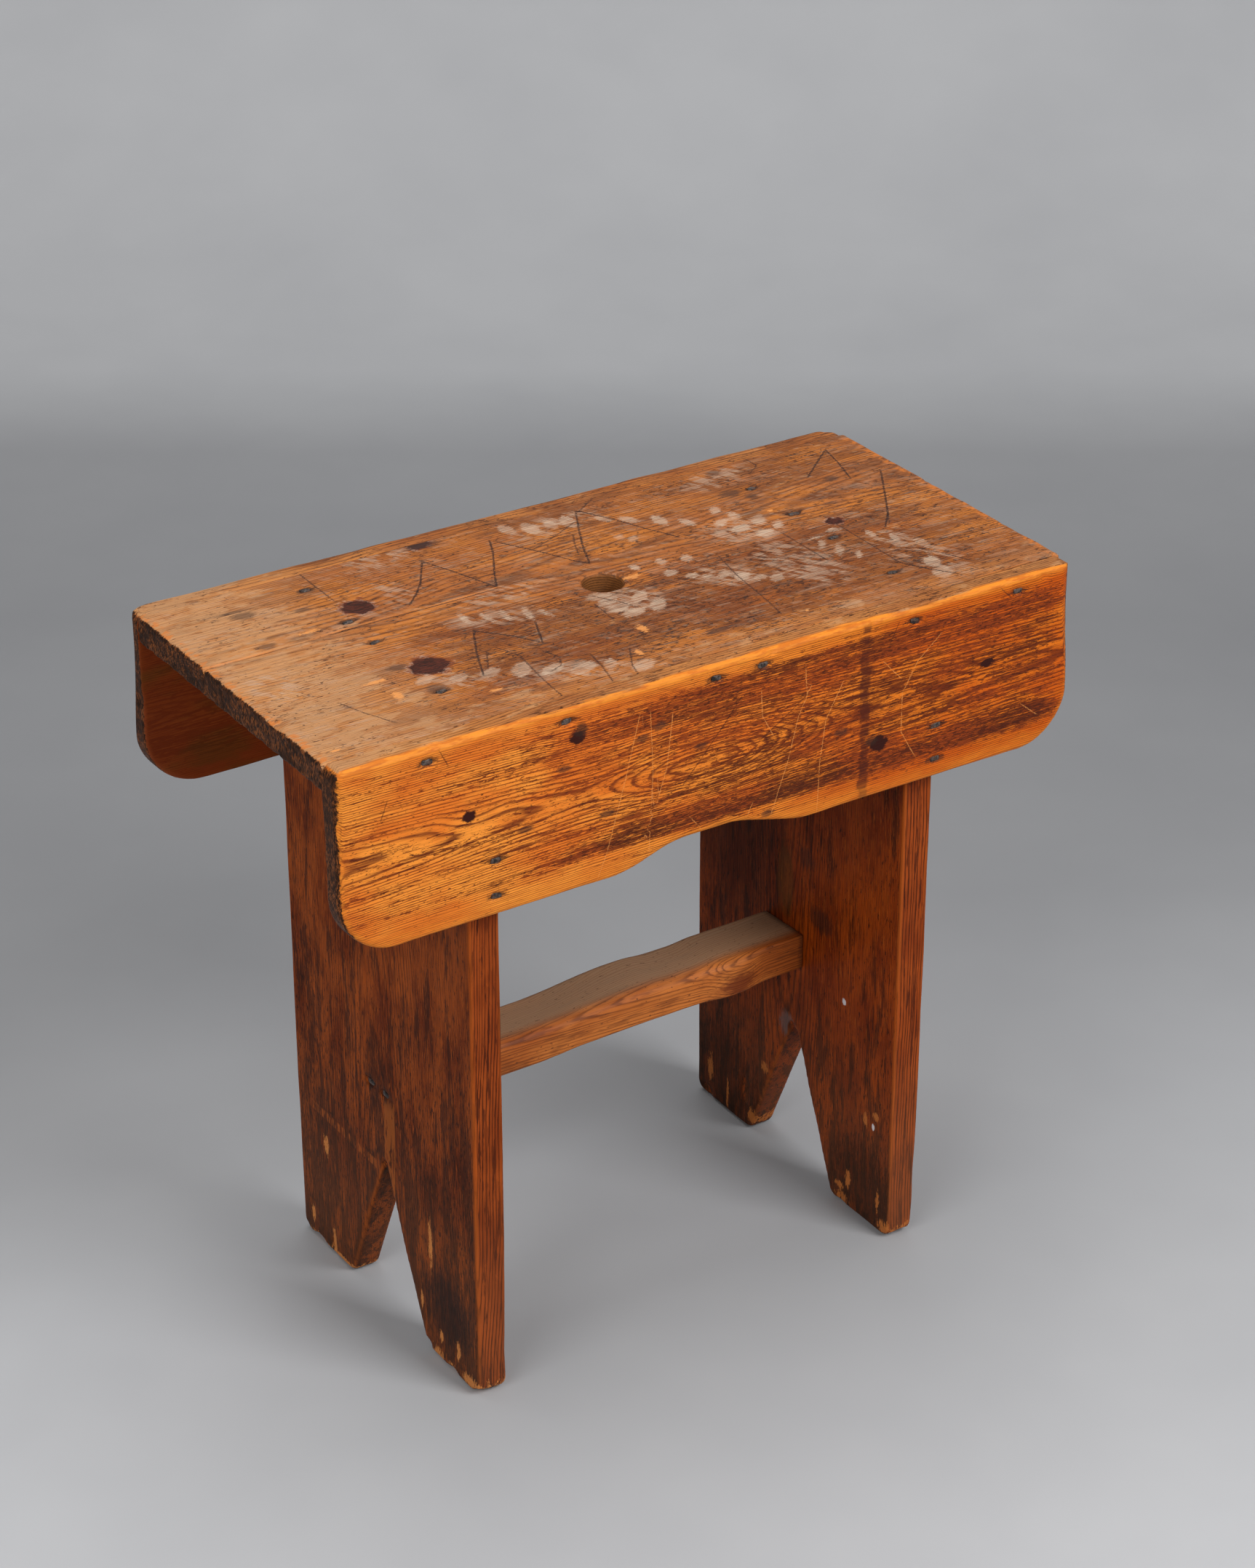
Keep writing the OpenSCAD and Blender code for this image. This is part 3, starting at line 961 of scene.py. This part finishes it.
# Knots: place along and across the board, radius, and how much longer than wide
FRONT_KNOTS = [(-181, 437, 4.2, 1.1), (-106, 468, 4.5, 1.3), (118, 402, 5.5, 1.2), (202, 436, 3.2, 1.8)]
BACK_KNOTS = [(-150, 440, 5, 1.2), (96, 412, 6, 1.2), (210, 450, 4, 1.4)]
SEAT_KNOTS = [(-148, 56, 11, 1.1), (-152, -40, 13, 1.1), (178, 2, 6, 1.15), (-70, 116, 7, 1.4)]
BAR_KNOTS = [(98, -20, 6, 1.6)]
# Long ovals of grain: place, half length, half height, and how deep the rings dip there
FRONT_OVALS = [(-2, 424, 105, 40, 7.0)]
# Dirt: x and z, and half sizes
FRONT_GRIME = [((112, 405), (4, 3)), ((-103, 472), (4, 5))]
FRONT_SPOTS = [
    (-47, 460), (-115, 450), (-60, 455), (-143, 417), (-17, 438), (88, 418), (-85, 411), (33, 377),
]


def front_wood():
    w = Wood("front_apron_pine", "xzy", (428, -92), (0.002, 0.02), 1.12, FRONT_KNOTS, seed=20.0, bow=8.0,
             dip=3.0, ovals=FRONT_OVALS)
    x, y, z = w.xyz
    w.rings((246, 151, 56), (226, 117, 36), (100, 40, 18), 0.85)
    w.paint(x.step(-190, 230), (230, 198, 140), "MULTIPLY")
    margin = z.step(368, 390) * z.step(487, 476)
    reach = x.step(-210, -20) * x.step(268, 246)
    bands = z.within(386, 393, 8) * 0.35 + z.within(464, 472, 8) * 0.18
    share = margin * (reach * 0.27 + 0.21) + bands * reach
    row = w.grain((120, 5.5, 9), 2, 0.5, 55).swing(0.4)
    fleck = w.patches((20, 0.9, 2.5), share, 0.02, 3.0, 30, w.late * 0.07 + row)
    blot = w.patches((8, 2.4, 5), share * 0.8, 0.02, 4.0, 31, w.late * 0.03 + row)
    stain = w.colour(w.cloud.step(0.4, 0.6), (92, 35, 14), (126, 52, 19))
    scraped = 1 - w.patches((30, 0.7, 1.2), 0.34, 0.03, 2.0, 56) * 0.75
    w.paint((fleck * 0.92).most(blot * 0.88) * scraped, stain)
    w.paint(w.patches((3.4, 1.2, 2), margin * 0.1 + 0.03, 0.02, 2.0, 32) * 0.8, (62, 27, 18))
    w.paint(w.patches((5.5, 0.9, 2), share * 0.62, 0.015, 3.0, 37, row * 0.5) * 0.75, (60, 24, 14))
    drip = (x + w.grain((5, 9, 9), 3, 0.6, 53).swing(9)).within(104, 108, 3)
    w.paint(drip * w.streak.step(0.3, 0.5) * 0.8, (74, 29, 18))
    w.paint(w.knot.step(0.0, 0.9), (52, 20, 14))
    w.spots("xz", FRONT_GRIME, 0.8, GRIME)
    w.spots("xz", [(at, (5, 2.2)) for at in FRONT_SPOTS], 0.7, (58, 36, 30))
    w.nail_stain()
    w.paint(w.line("dark", 0.4) * 0.6, (62, 27, 18))
    pale = w.line("pale", 0.26, 1.6) * w.streak.step(0.3, 0.5)
    w.paint(pale * 0.6, (232, 148, 76))
    # Lighter orange along the worn arrises and the top and bottom edges: partly bare wear, partly a painted
    # highlight on the top arris.
    rubbed = w.colour(w.grain((16, 2.5, 4), 3, 0.7, 54).step(0.42, 0.6), (220, 134, 44), (194, 106, 34))
    worn = w.rim.step(6.0, 1.0) * w.streak.step(0.3, 0.5)
    w.paint((worn * 0.6).most(z.step(482, 489) * 0.5).most(z.step(380, 368) * 0.35), rubbed)
    # A lighter strip on the top face along the front arris: partly wear, partly a painted highlight line.
    w.paint((y + w.fibre.swing(3)).step(-129.5, -131.5) * z.step(485.5, 487) * 0.7, rubbed)
    dusty = z.step(488.2, 489.0) * (y + w.cloud.swing(12) + w.fibre.swing(6)).step(-131.5, -129.5)
    dusty_top(w, dusty)
    # Painted shade: the apron's inner face, under the seat, in a dark brown.
    w.paint(y.step(-121.5, -119) * z.step(488.6, 487) * 0.8, (104, 44, 16))
    w.board_ends((140, 80, 40), (42, 24, 14))
    rough = w.cloud * 0.25 + 0.36 - fleck * 0.05 + dusty * 0.25
    return w.finish(w.tone, rough, apron_relief(w, fleck, pale), specular=0.09)


def back_wood():
    w = Wood("back_apron_pine", "xzy", (418, 96), (0.004, -0.03), 1.3, BACK_KNOTS, seed=50.0)
    _, y, z = w.xyz
    w.rings((214, 120, 48), (184, 90, 32), (90, 38, 18), 0.8)
    margin = z.step(368, 392) * z.step(486, 472)
    share = margin * 0.36 + z.within(388, 398, 9) * 0.2
    fleck = w.patches((18, 1.1, 2.5), share, 0.03, 3.0, 30, w.late * 0.06)
    blot = w.patches((12, 4, 5), share * 0.6, 0.03, 3.0, 31)
    w.paint((fleck * 0.85).most(blot * 0.8), (84, 34, 17))
    w.paint(w.patches((3.4, 1.2, 2), 0.07, 0.02, 2.0, 32) * 0.8, (60, 28, 18))
    w.paint(w.knot.step(0.0, 0.9), (54, 22, 15))
    w.nail_stain()
    w.paint(w.line("dark", 0.4) * 0.6, (62, 27, 18))
    pale = w.line("pale", 0.32)
    w.paint(pale * 0.7, (222, 140, 82))
    w.paint(w.rim.step(5, 1.5) * w.streak.step(0.35, 0.5) * 0.6, (206, 112, 42))
    dusty_top(w, z.step(486.8, 488.6))
    # Painted shade: the apron's inner face, under the seat, in darker browns.
    inside = w.colour(w.patches((60, 22, 9), 0.35, 0.1, 3.0, 57), (112, 44, 14), (92, 48, 15))
    w.paint(y.step(121.5, 119) * z.step(488.6, 487) * 0.87, inside)
    w.board_ends((132, 74, 38), (42, 24, 14))
    return w.finish(w.tone, w.cloud * 0.25 + 0.4, apron_relief(w, fleck, pale), specular=0.12)


# Dirt on the seat, and places chipped to bare wood: x and y, and half sizes
SEAT_GRIME = [
    ((-164, 94), (6, 4)), ((-179, 70), (5, 3)), ((-222, 36), (6, 4)), ((-214, 82), (8, 5)),
    ((-164, -70), (7, 5)), ((-170, -32), (7, 4)), ((216, 59), (5, 4)), ((155, 63), (5, 4)),
    ((22, -94), (8, 3)), ((145, 75), (7, 5)), ((162, 28), (8, 2.5)), ((155, 110), (6, 4)),
    ((-165, 40), (5, 3)), ((-218, 90), (12, 1.6)), ((-68, 114), (13, 4)),
]
SEAT_BARE = [
    ((-190, -42), (7, 2)), ((-188, -66), (3, 5)), ((-16, -66), (3, 5)), ((-36, -93), (2, 4)),
    ((-254, -107), (4, 1)), ((-135, -90), (4, 1.2)), ((152, 38), (1.4, 1.6)), ((20, 1), (7, 3)),
    ((84, -100), (1.2, 1.2)), ((-192, 40), (9, 1.4)),
]


def seat_wood():
    w = Wood("seat_pine", "xyz", (38, 430), (0.02, 0.03), 1.75, SEAT_KNOTS, seed=1.0, bow=12.0, dip=5.0)
    x, y, z = w.xyz
    w.rings((189, 112, 43), (159, 84, 30), (78, 39, 18), 0.8)
    weather(w)
    film = (w.attribute("film") + w.streak.swing(24)).step(-6, 6) * w.wiped()
    w.paint(film * 0.7, (180, 150, 126))
    dab = (w.attribute("dab") + w.grit.swing(4.0) + w.chaff.swing(7)).step(-0.5, 1.2)
    dab = dab * (w.fibre.step(0.6, 0.42) * 0.7 + 0.3) * (w.cloud.step(0.35, 0.6) * 0.4 + 0.6)
    w.paint(dab * 0.76, (194, 168, 144))
    w.paint(w.knot.step(0.05, 0.4) * 0.7, (112, 52, 26))
    core = w.colour(w.chaff.step(0.4, 0.62), (30, 14, 12), (78, 33, 22))
    w.paint(w.knot.step(0.4, 0.95) * 0.92, core)
    scuff = w.knot.within(0.1, 0.8, 0.1) * w.wiped() * w.grit.step(0.4, 0.6)
    w.paint(scuff * 0.6, (180, 150, 130))
    w.spots("xy", SEAT_GRIME, 0.6, (60, 44, 38))
    w.spots("xy", SEAT_BARE, w.grit * 0.7 + 0.4, (222, 146, 78), 0.15, 3.0)
    w.nail_stain()
    scored, stroke = w.line("zigzag", 0.62, 2.4), w.line("stroke", 0.55, 2.4)
    w.paint(scored * w.grit.step(0.34, 0.46) * 0.85, (42, 28, 26))
    w.paint(stroke * w.grit.step(0.34, 0.46) * 0.7, (54, 34, 28))
    w.paint(w.line("crack", 0.42, 0.7) * 0.85, (44, 24, 16))
    # A painted highlight: an orange line along the crack's far lip, where it faces the front.
    lip_highlight = (w.attribute("crack") - 1.5 + w.grit.swing(1.5)).size().step(1.1, 0.4) * w.attribute("crack_on")
    w.paint(lip_highlight * w.streak.step(0.42, 0.58) * 0.6, (206, 128, 66))
    burr = (w.attribute("zigzag") - 1.2).size().step(0.8, 0.2) * w.attribute("zigzag_on")
    w.paint(burr * w.grit.step(0.5, 0.7) * 0.35, (190, 138, 98))
    u, v = x - HOLE_X, y - HOLE_Y
    inside_hole = (u * u + v * v).math("SQRT").step(HOLE_RADIUS + 1.2, HOLE_RADIUS + 0.6)
    w.paint(inside_hole * z.step(489.5, 487) * 0.85, (128, 80, 40))
    bored = (z / 1.7 + w.grit * 0.8).math("FRACT").step(0.45, 0.8)
    w.paint(inside_hole * bored * 0.6, (62, 36, 20))
    w.paint(z.step(480, 473) * 0.6, (112, 60, 30))
    bare_end = (x.size() + w.fibre.swing(8)).step(261, 264.5) * w.patches((9, 5, 5), 0.4, 0.05, 3.0, 45)
    w.paint(bare_end * 0.7, (196, 112, 46))
    w.board_ends((136, 78, 40), (40, 23, 14))
    height = w.late * 0.12 + w.fibre * 0.14 + scored * -0.5 + stroke * -0.25 + dab * 0.06 + w.grit * 0.05
    return w.finish(w.tone, w.cloud * 0.2 + 0.48 + dab * 0.1, height, specular=0.12)


def leg_wood(name, seed, warm, dark):
    """warm is how orange the bare wood is; dark is how far the grime reaches up, in millimetres."""
    side = -1 if name == "left" else 1
    w = Wood(name + "_leg_pine", "zyx", (6, side * 85), (0.012, 0.02), 1.25, seed=seed, bow=7.0, dip=3.0)
    _, y, z = w.xyz
    pale = (160 + 12 * warm, 74 - 2 * warm, 18 - 6 * warm)
    w.rings(pale, (116 + 18 * warm, 47 + 4 * warm, 12), (52, 21, 7), 0.7)
    grime = z.step(dark + 130, dark - 60) * 0.24 + y.size().step(60, 110) * 0.06 + 0.26
    w.paint(w.patches((48, 7, 12), grime, 0.05, 4.0, 30, w.fibre.swing(0.12)) * 0.7, (52, 22, 10))
    w.paint(w.patches((7, 1.6, 3), grime * 0.7, 0.02, 4.0, 31) * 0.8, (34, 16, 9))
    w.paint(w.patches((15, 0.8, 1.2), 0.3, 0.02, 2.0, 33) * 0.5, (40, 18, 9))
    glow = w.patches((16, 0.9, 3), z.step(60, 300) * 0.16 + 0.1, 0.02, 3.0, 32)
    w.paint(glow * 0.7, (172, 84, 24))
    on_edge = y.size().step(115.5, 117.2)
    bare = on_edge * (w.streak.step(0.3, 0.5) * 0.3 + 0.62)
    w.rings_over(bare, (162, 74, 27), (130, 54, 18), (54, 22, 10), 0.95)
    stained = w.patches((34, 3, 2.2), 0.3, 0.03, 4.0, 35)
    w.paint(on_edge * stained * 0.75, (58, 23, 12))
    arris = w.rim.step(3.4, 0.8) * w.deep.step(3.4, 0.8) * (w.streak.step(0.38, 0.55) * 0.6 + 0.3)
    w.paint(arris * 0.8, (168, 82, 28))
    w.paint(z.step(190, 20) * (w.cloud * 0.2 + 0.08 + 0.07 * warm), (128, 90, 64))
    foot = z.step(26, 2) * w.patches((9, 6, 6), 0.42, 0.05, 3.0, 34)
    w.paint(foot * (1 - on_edge * 0.5) * 0.7, (58, 38, 29))
    return w


def leg_finish(w, splinters, bare):
    """Splinters, the stain round the stretcher's nails, and the sawn feet."""
    w.spots("yz", splinters, w.grit * 0.6 + 0.55, bare, 0.15, 3.4)
    w.paint((w.attribute("halo") + w.streak.swing(3)).step(0, 2) * 0.7, (30, 22, 20))
    w.end_grain(w.xyz[2].step(1.6, 0.5), (150, 96, 56), (50, 32, 24))
    height = w.late * 0.10 + w.fibre * 0.12 + w.grit * 0.05 + w.cloud * 0.2
    return w.finish(w.tone, w.cloud * 0.3 + 0.36, height, specular=0.06)


# Fresh splinters where the dark legs are chipped to bare wood: y and z, and half sizes
LEFT_SPLINTERS = [
    ((80, 86), (3, 7)), ((103, 19), (2.6, 5)), ((74, 10), (2.6, 11)), ((-59, 88), (1.8, 16)),
    ((-92, 22), (2.4, 6)), ((-70, 21), (1.8, 4)), ((-66, 4), (6, 5)), ((-84, 3), (5, 4)),
    ((-108, 6), (9, 5)), ((96, 2), (12, 3)), ((-46, 36), (1.4, 6)), ((62, 4), (14, 2)),
]
RIGHT_SPLINTERS = [
    ((-104, 26), (1.8, 7)), ((-70, 25), (2.6, 6)), ((-88, 84), (1.8, 5)), ((-62, 6), (6, 5)),
    ((-60, 15), (4, 3)), ((78, 16), (1.4, 12)), ((32, 62), (3.4, 4)), ((48, 12), (3, 6)),
    ((-112, 8), (5, 5)), ((100, 26), (3, 10)), ((-100, 92), (3, 3)),
]
# Patches on the right leg's inner face: stains and dirt, and one large patch darker over the upper back
# half.
# Each gives y and z, half sizes, strength and colour
RIGHT_FACE_PATCHES = [
    ((12, 225), (9, 26), 0.55, (130, 76, 26)), ((-30, 212), (12, 8), 0.6, GRIME),
    ((-12, 252), (10, 7), 0.5, GRIME), ((6, 112), (8, 9), 0.5, (120, 104, 100)),
    ((75, 275), (60, 110), 0.55, (40, 20, 10)), ((-88, 28), (38, 34), 0.55, (36, 21, 14)),
    ((85, 28), (42, 46), 0.6, (32, 18, 12)),
]
# Flecks of white paint on the same face
RIGHT_PAINT = [((-60, 163), (1.8, 2.4)), ((-97, 82), (1.8, 2.4))]


def left_leg_wood():
    w = leg_wood("left", 60.0, 0.0, 190)
    x, y, z = w.xyz
    face = x.step(-172.5, -173.3)           # the leg's outer face
    strip = (y - 0.04 * (110 - z) + w.fibre.swing(8)).within(-14, -2, 1.5) * z.within(100, 158, 20)
    strip = strip * (1 - w.patches((14, 3, 4), 0.3, 0.03, 3.0, 67))
    w.paint(strip * face * 0.75, (158, 84, 32))
    cheek = (z * 0.41 + y.size()).step(49, 47.4) * z.step(112, 108)
    w.paint(cheek * 0.6, (70, 44, 24))
    ticks = y.within(12, 96, 6) * z.within(108, 113, 1.5) * w.grain((9, 1.2, 4), 1, 0.5, 66).step(0.48, 0.6)
    w.paint(ticks * face * 0.6, (176, 92, 38))
    w.paint(w.spot("yz", (-78, 44), (26, 27), 0.4) * face * 0.75, (38, 29, 27))
    return leg_finish(w, LEFT_SPLINTERS, (208, 132, 70))


def right_leg_wood():
    w = leg_wood("right", 70.0, 1.0, 60)
    face = w.xyz[0].step(153.5, 152.7)
    for place, radii, strength, colour in RIGHT_FACE_PATCHES:
        w.paint(w.spot("yz", place, radii) * face * strength, colour)
    w.spots("yz", RIGHT_PAINT, face * 0.95, (225, 222, 224), 0.15)
    return leg_finish(w, RIGHT_SPLINTERS, (190, 112, 54))


def bar_wood():
    w = Wood("stretcher_pine", "xyz", (64, 118), (0.01, -0.02), 1.3, BAR_KNOTS, seed=80.0, bow=4.0, dip=2.0)
    x, y, z = w.xyz
    w.rings((204, 120, 56), (172, 90, 38), (92, 46, 26), 0.7)
    w.paint(w.patches((30, 5, 5), 0.3, 0.06, 3.0, 30) * 0.5, (110, 58, 32))
    top = (z - x * (BAR_FALL / (2 * BAR_HIGH[0]))).step(178, 186)
    dust = top * y.step(-9, 3)
    w.paint(dust * (1 - w.late * 0.3) * 0.85, (170, 138, 108))
    w.paint(w.patches((4, 1.6, 2), 0.08, 0.03, 2.0, 31) * 0.7, (70, 44, 34))
    w.paint(w.spot("xyz", (98, -14, 172), (14, 6, 7)) * 0.7, (92, 36, 24))
    w.paint(y.step(30, 35) * 0.6, (104, 56, 32))
    w.paint(top.step(0.5, 0.0) * y.step(-8, -4) * 0.55, (96, 54, 32))
    w.paint(x.size().step(146, 151) * 0.6, (60, 34, 24))
    height = w.late * 0.14 + w.fibre * 0.14 + w.grit * 0.05
    return w.finish(w.tone, dust * 0.3 + 0.45, height, specular=0.1)


def nail_iron():
    s = Shader("nail_iron")
    place = s.place()
    facets = s.noise(place, (2.2, 2.2, 2.2), 3, 0.7)
    tone = s.colour(facets.step(0.42, 0.62), (32, 26, 24), (92, 80, 74))
    rust = s.noise(place, (3.0, 3.0, 3.0), 3, 0.7, 9.0).step(0.5, 0.66)
    tone = s.colour(rust * 0.7, tone, (84, 50, 34))
    return s.finish(tone, rust * 0.3 + 0.38, facets * 0.25, specular=0.3, metallic=0.2)


# ---- the stage

CAMERA_AZIMUTH, CAMERA_ELEVATION = math.radians(-32.86), math.radians(27.94)
CAMERA_AWAY = 2.4927                        # metres from the stool's middle
CAMERA_RIGHT, CAMERA_UP = 0.0134, 0.09035   # how far the aim is beside and above that middle
CAMERA_LENS = 86.7


def add_camera():
    low, high = cad_box
    a, e = CAMERA_AZIMUTH, CAMERA_ELEVATION
    back = Vector((math.sin(a) * math.cos(e), -math.cos(a) * math.cos(e), math.sin(e)))
    right = Vector((math.cos(a), math.sin(a), 0))
    up = back.cross(right)
    data = bpy.data.cameras.new("camera")
    data.lens = CAMERA_LENS
    data.clip_end = 50
    camera = bpy.data.objects.new("camera", data)
    turn = Matrix((right, up, back)).transposed().to_4x4()
    where = (low + high) / 2 + back * CAMERA_AWAY + right * CAMERA_RIGHT + up * CAMERA_UP
    camera.matrix_world = Matrix.Translation(where) @ turn
    bpy.context.scene.collection.objects.link(camera)
    bpy.context.scene.camera = camera


def add_light(name, place, aim, size, power, tint=(1, 1, 1)):
    data = bpy.data.lights.new(name, "AREA")
    data.shape = "RECTANGLE"
    data.size, data.size_y = size
    data.energy = power
    data.color = tint
    light = bpy.data.objects.new(name, data)
    light.location = place
    light.rotation_euler = (Vector(place) - Vector(aim)).to_track_quat("Z", "Y").to_euler()
    bpy.context.scene.collection.objects.link(light)


# How pale the sweep is from the near edge of its shaded part to the far one, in millimetres from the stool
SWEEP_NEAR, SWEEP_FAR = 700.0, 2100.0
FLOOR_SHADE = [
    (0.0, 1.0), (0.14, 0.97), (0.26, 0.8), (0.42, 0.52),
    (0.6, 0.42), (0.74, 0.52), (0.82, 0.85), (1.0, 0.95),
]


def add_stage():
    """A pale sweep: floor, a wide bend, then the wall."""
    s = Shader("sweep_paper")
    x, y, z = s.place()
    mottle = s.noise((x, y, z), (260, 260, 260), 3, 0.6)
    paper = s.colour(mottle, (170, 171, 174), (186, 187, 189))
    shade = s.ramp((y + SWEEP_NEAR) / (SWEEP_NEAR + SWEEP_FAR), FLOOR_SHADE)
    paper = s.colour(1 - shade, paper, (70, 71, 74))
    material = s.finish(paper, 0.75, s.noise((x, y, z), (3, 3, 3)) * 0.1, bump=0.3)
    bend_start, bend, side = 1.6, 1.2, 6.0
    profile = [(-5.0, 0.0), (bend_start, 0.0)]
    for k in range(1, 13):
        a = math.radians(90 * k / 12)
        profile.append((bend_start + bend * math.sin(a), bend * (1 - math.cos(a))))
    profile.append((bend_start + bend, 6.0))
    mesh = bpy.data.meshes.new("sweep")
    corners = [(px, py, pz) for py, pz in profile for px in (-side, side)]
    faces = [(2 * k, 2 * k + 1, 2 * k + 3, 2 * k + 2) for k in range(len(profile) - 1)]
    mesh.from_pydata(corners, [], faces)
    mesh.polygons.foreach_set("use_smooth", [True] * len(faces))
    mesh.materials.append(material)
    sweep = bpy.data.objects.new("sweep", mesh)
    sweep.rotation_euler = (0, 0, CAMERA_AZIMUTH)
    bpy.context.scene.collection.objects.link(sweep)


def add_lights():
    add_light("key", (1.0, -2.6, 2.6), (0, 0, 0.3), (1.6, 1.6), 95)
    add_light("fill", (-3.0, -1.4, 2.2), (0, 0, 0.3), (2.2, 2.2), 55)
    add_light("top", (0.0, 0.8, 3.4), (0, 0, 0.2), (2.4, 2.4), 55)
    world = bpy.data.worlds.new("studio")
    world.use_nodes = True
    world.node_tree.nodes["Background"].inputs["Color"].default_value = (1.0, 0.98, 0.96, 1)
    world.node_tree.nodes["Background"].inputs["Strength"].default_value = 0.25
    bpy.context.scene.world = world
    bpy.context.scene.view_settings.view_transform = "Standard"


# ---- putting it together

COARSE, FINE = 2.6, 0.9                     # grid steps in a board's middle and near its edges
ARCH_TOP = (383, 383.1, 1.2)                # one short step, which sets where the lines above it fall


def near(places, half, size):
    """Ranges of fine grid lines about some places."""
    return [(at - half, at + half, size) for at in sorted(set(places))]


def build_seat():
    crack = (26.5, 37.5, 0.6)
    nails = near([n[1] for n in LEFT_TOP_NAILS + RIGHT_TOP_NAILS], 4.5, 1.0)
    axes = [
        ticks(SEAT_LOW[0], SEAT_HIGH[0], COARSE, FINE, 8, near([-LEG_MID, LEG_MID], 7.5, 1.0)),
        ticks(SEAT_LOW[1], SEAT_HIGH[1], COARSE, FINE, 4, [crack] + nails),
        ticks(SEAT_LOW[2], SEAT_HIGH[2], 1.5, 0.8, 4),
    ]
    carve("seat_board_worn", "seat_board", seat, axes, seat_wood(), seat_marks)


def build_apron(name, side, chips, seed, row, wood, *scratches):
    low, high = box_mm(name)
    leg_nails = apron_leg_nails(-1, side) + apron_leg_nails(1, side)
    heights = near([n[2] for n in leg_nails], 3.5, 0.9) + near([SEAT_MID], 3.5, 0.9)
    axes = [
        ticks(SEAT_LOW[0], SEAT_HIGH[0], COARSE, FINE, 8, near([n[0] for n in row + leg_nails], 7, 0.9)),
        ticks(low[1], high[1], 1.5, 0.8, 5.5),
        ticks(low[2], high[2], 2.4, FINE, 6, heights + [ARCH_TOP]),
    ]
    carve(name + "_worn", name, lambda p: apron(p, side, chips, seed), axes, wood(),
          apron_marks(row + leg_nails, *scratches))


def build_leg(name, side, chips, seed, wood, spots):
    low, high = box_mm(name)
    axes = [
        ticks(low[0], high[0], 1.6, 0.9, 5),
        ticks(low[1], high[1], COARSE, FINE, 6, [(-12, 22, 0.9)]),
        ticks(low[2], high[2], COARSE, FINE, 9, near([spots[0][2]], 3.5, 0.9)),
    ]
    carve(name + "_worn", name, lambda p: leg(p, side, chips, seed), axes, wood(),
          leg_marks(spots))


def build_stretcher():
    low, high = box_mm("stretcher")
    axes = [
        ticks(low[0], high[0], 2.2, FINE, 5),
        ticks(low[1], high[1], 1.4, 0.9, 12),
        ticks(low[2], high[2], 1.3, 1.0, 12),
    ]
    carve("stretcher_worn", "stretcher", bar, axes, bar_wood())


def build():
    build_seat()
    build_apron("front_apron", -1, FRONT_CHIPS, 20, FRONT_SEAT_NAILS, front_wood,
                PALE_SCRATCHES, DARK_SCRATCHES)
    build_apron("back_apron", 1, BACK_CHIPS, 50, BACK_SEAT_NAILS, back_wood,
                PALE_SCRATCHES[5:9], DARK_SCRATCHES[3:6])
    build_leg("left_leg", -1, LEFT_CHIPS, 60, left_leg_wood, LEFT_BAR_NAILS)
    build_leg("right_leg", 1, RIGHT_CHIPS, 70, right_leg_wood, RIGHT_BAR_NAILS)
    build_stretcher()
    iron = nail_iron()
    for node, spots, way, seed in (
            ("nails_front_apron_to_seat", FRONT_SEAT_NAILS, INTO_FRONT, 1),
            ("nails_back_apron_to_seat", BACK_SEAT_NAILS, INTO_BACK, 2),
            ("nails_front_apron_to_left_leg", apron_leg_nails(-1, -1), INTO_FRONT, 3),
            ("nails_front_apron_to_right_leg", apron_leg_nails(1, -1), INTO_FRONT, 4),
            ("nails_back_apron_to_left_leg", apron_leg_nails(-1, 1), INTO_BACK, 5),
            ("nails_back_apron_to_right_leg", apron_leg_nails(1, 1), INTO_BACK, 6),
            ("nails_seat_to_left_leg", LEFT_TOP_NAILS, INTO_SEAT, 7),
            ("nails_seat_to_right_leg", RIGHT_TOP_NAILS, INTO_SEAT, 8),
            ("nails_left_leg_to_stretcher", LEFT_BAR_NAILS, INTO_LEFT, 9),
            ("nails_right_leg_to_stretcher", RIGHT_BAR_NAILS, INTO_RIGHT, 10)):
        drive_nails(node, spots, way, iron, seed)


build()
add_stage()
add_lights()
add_camera()
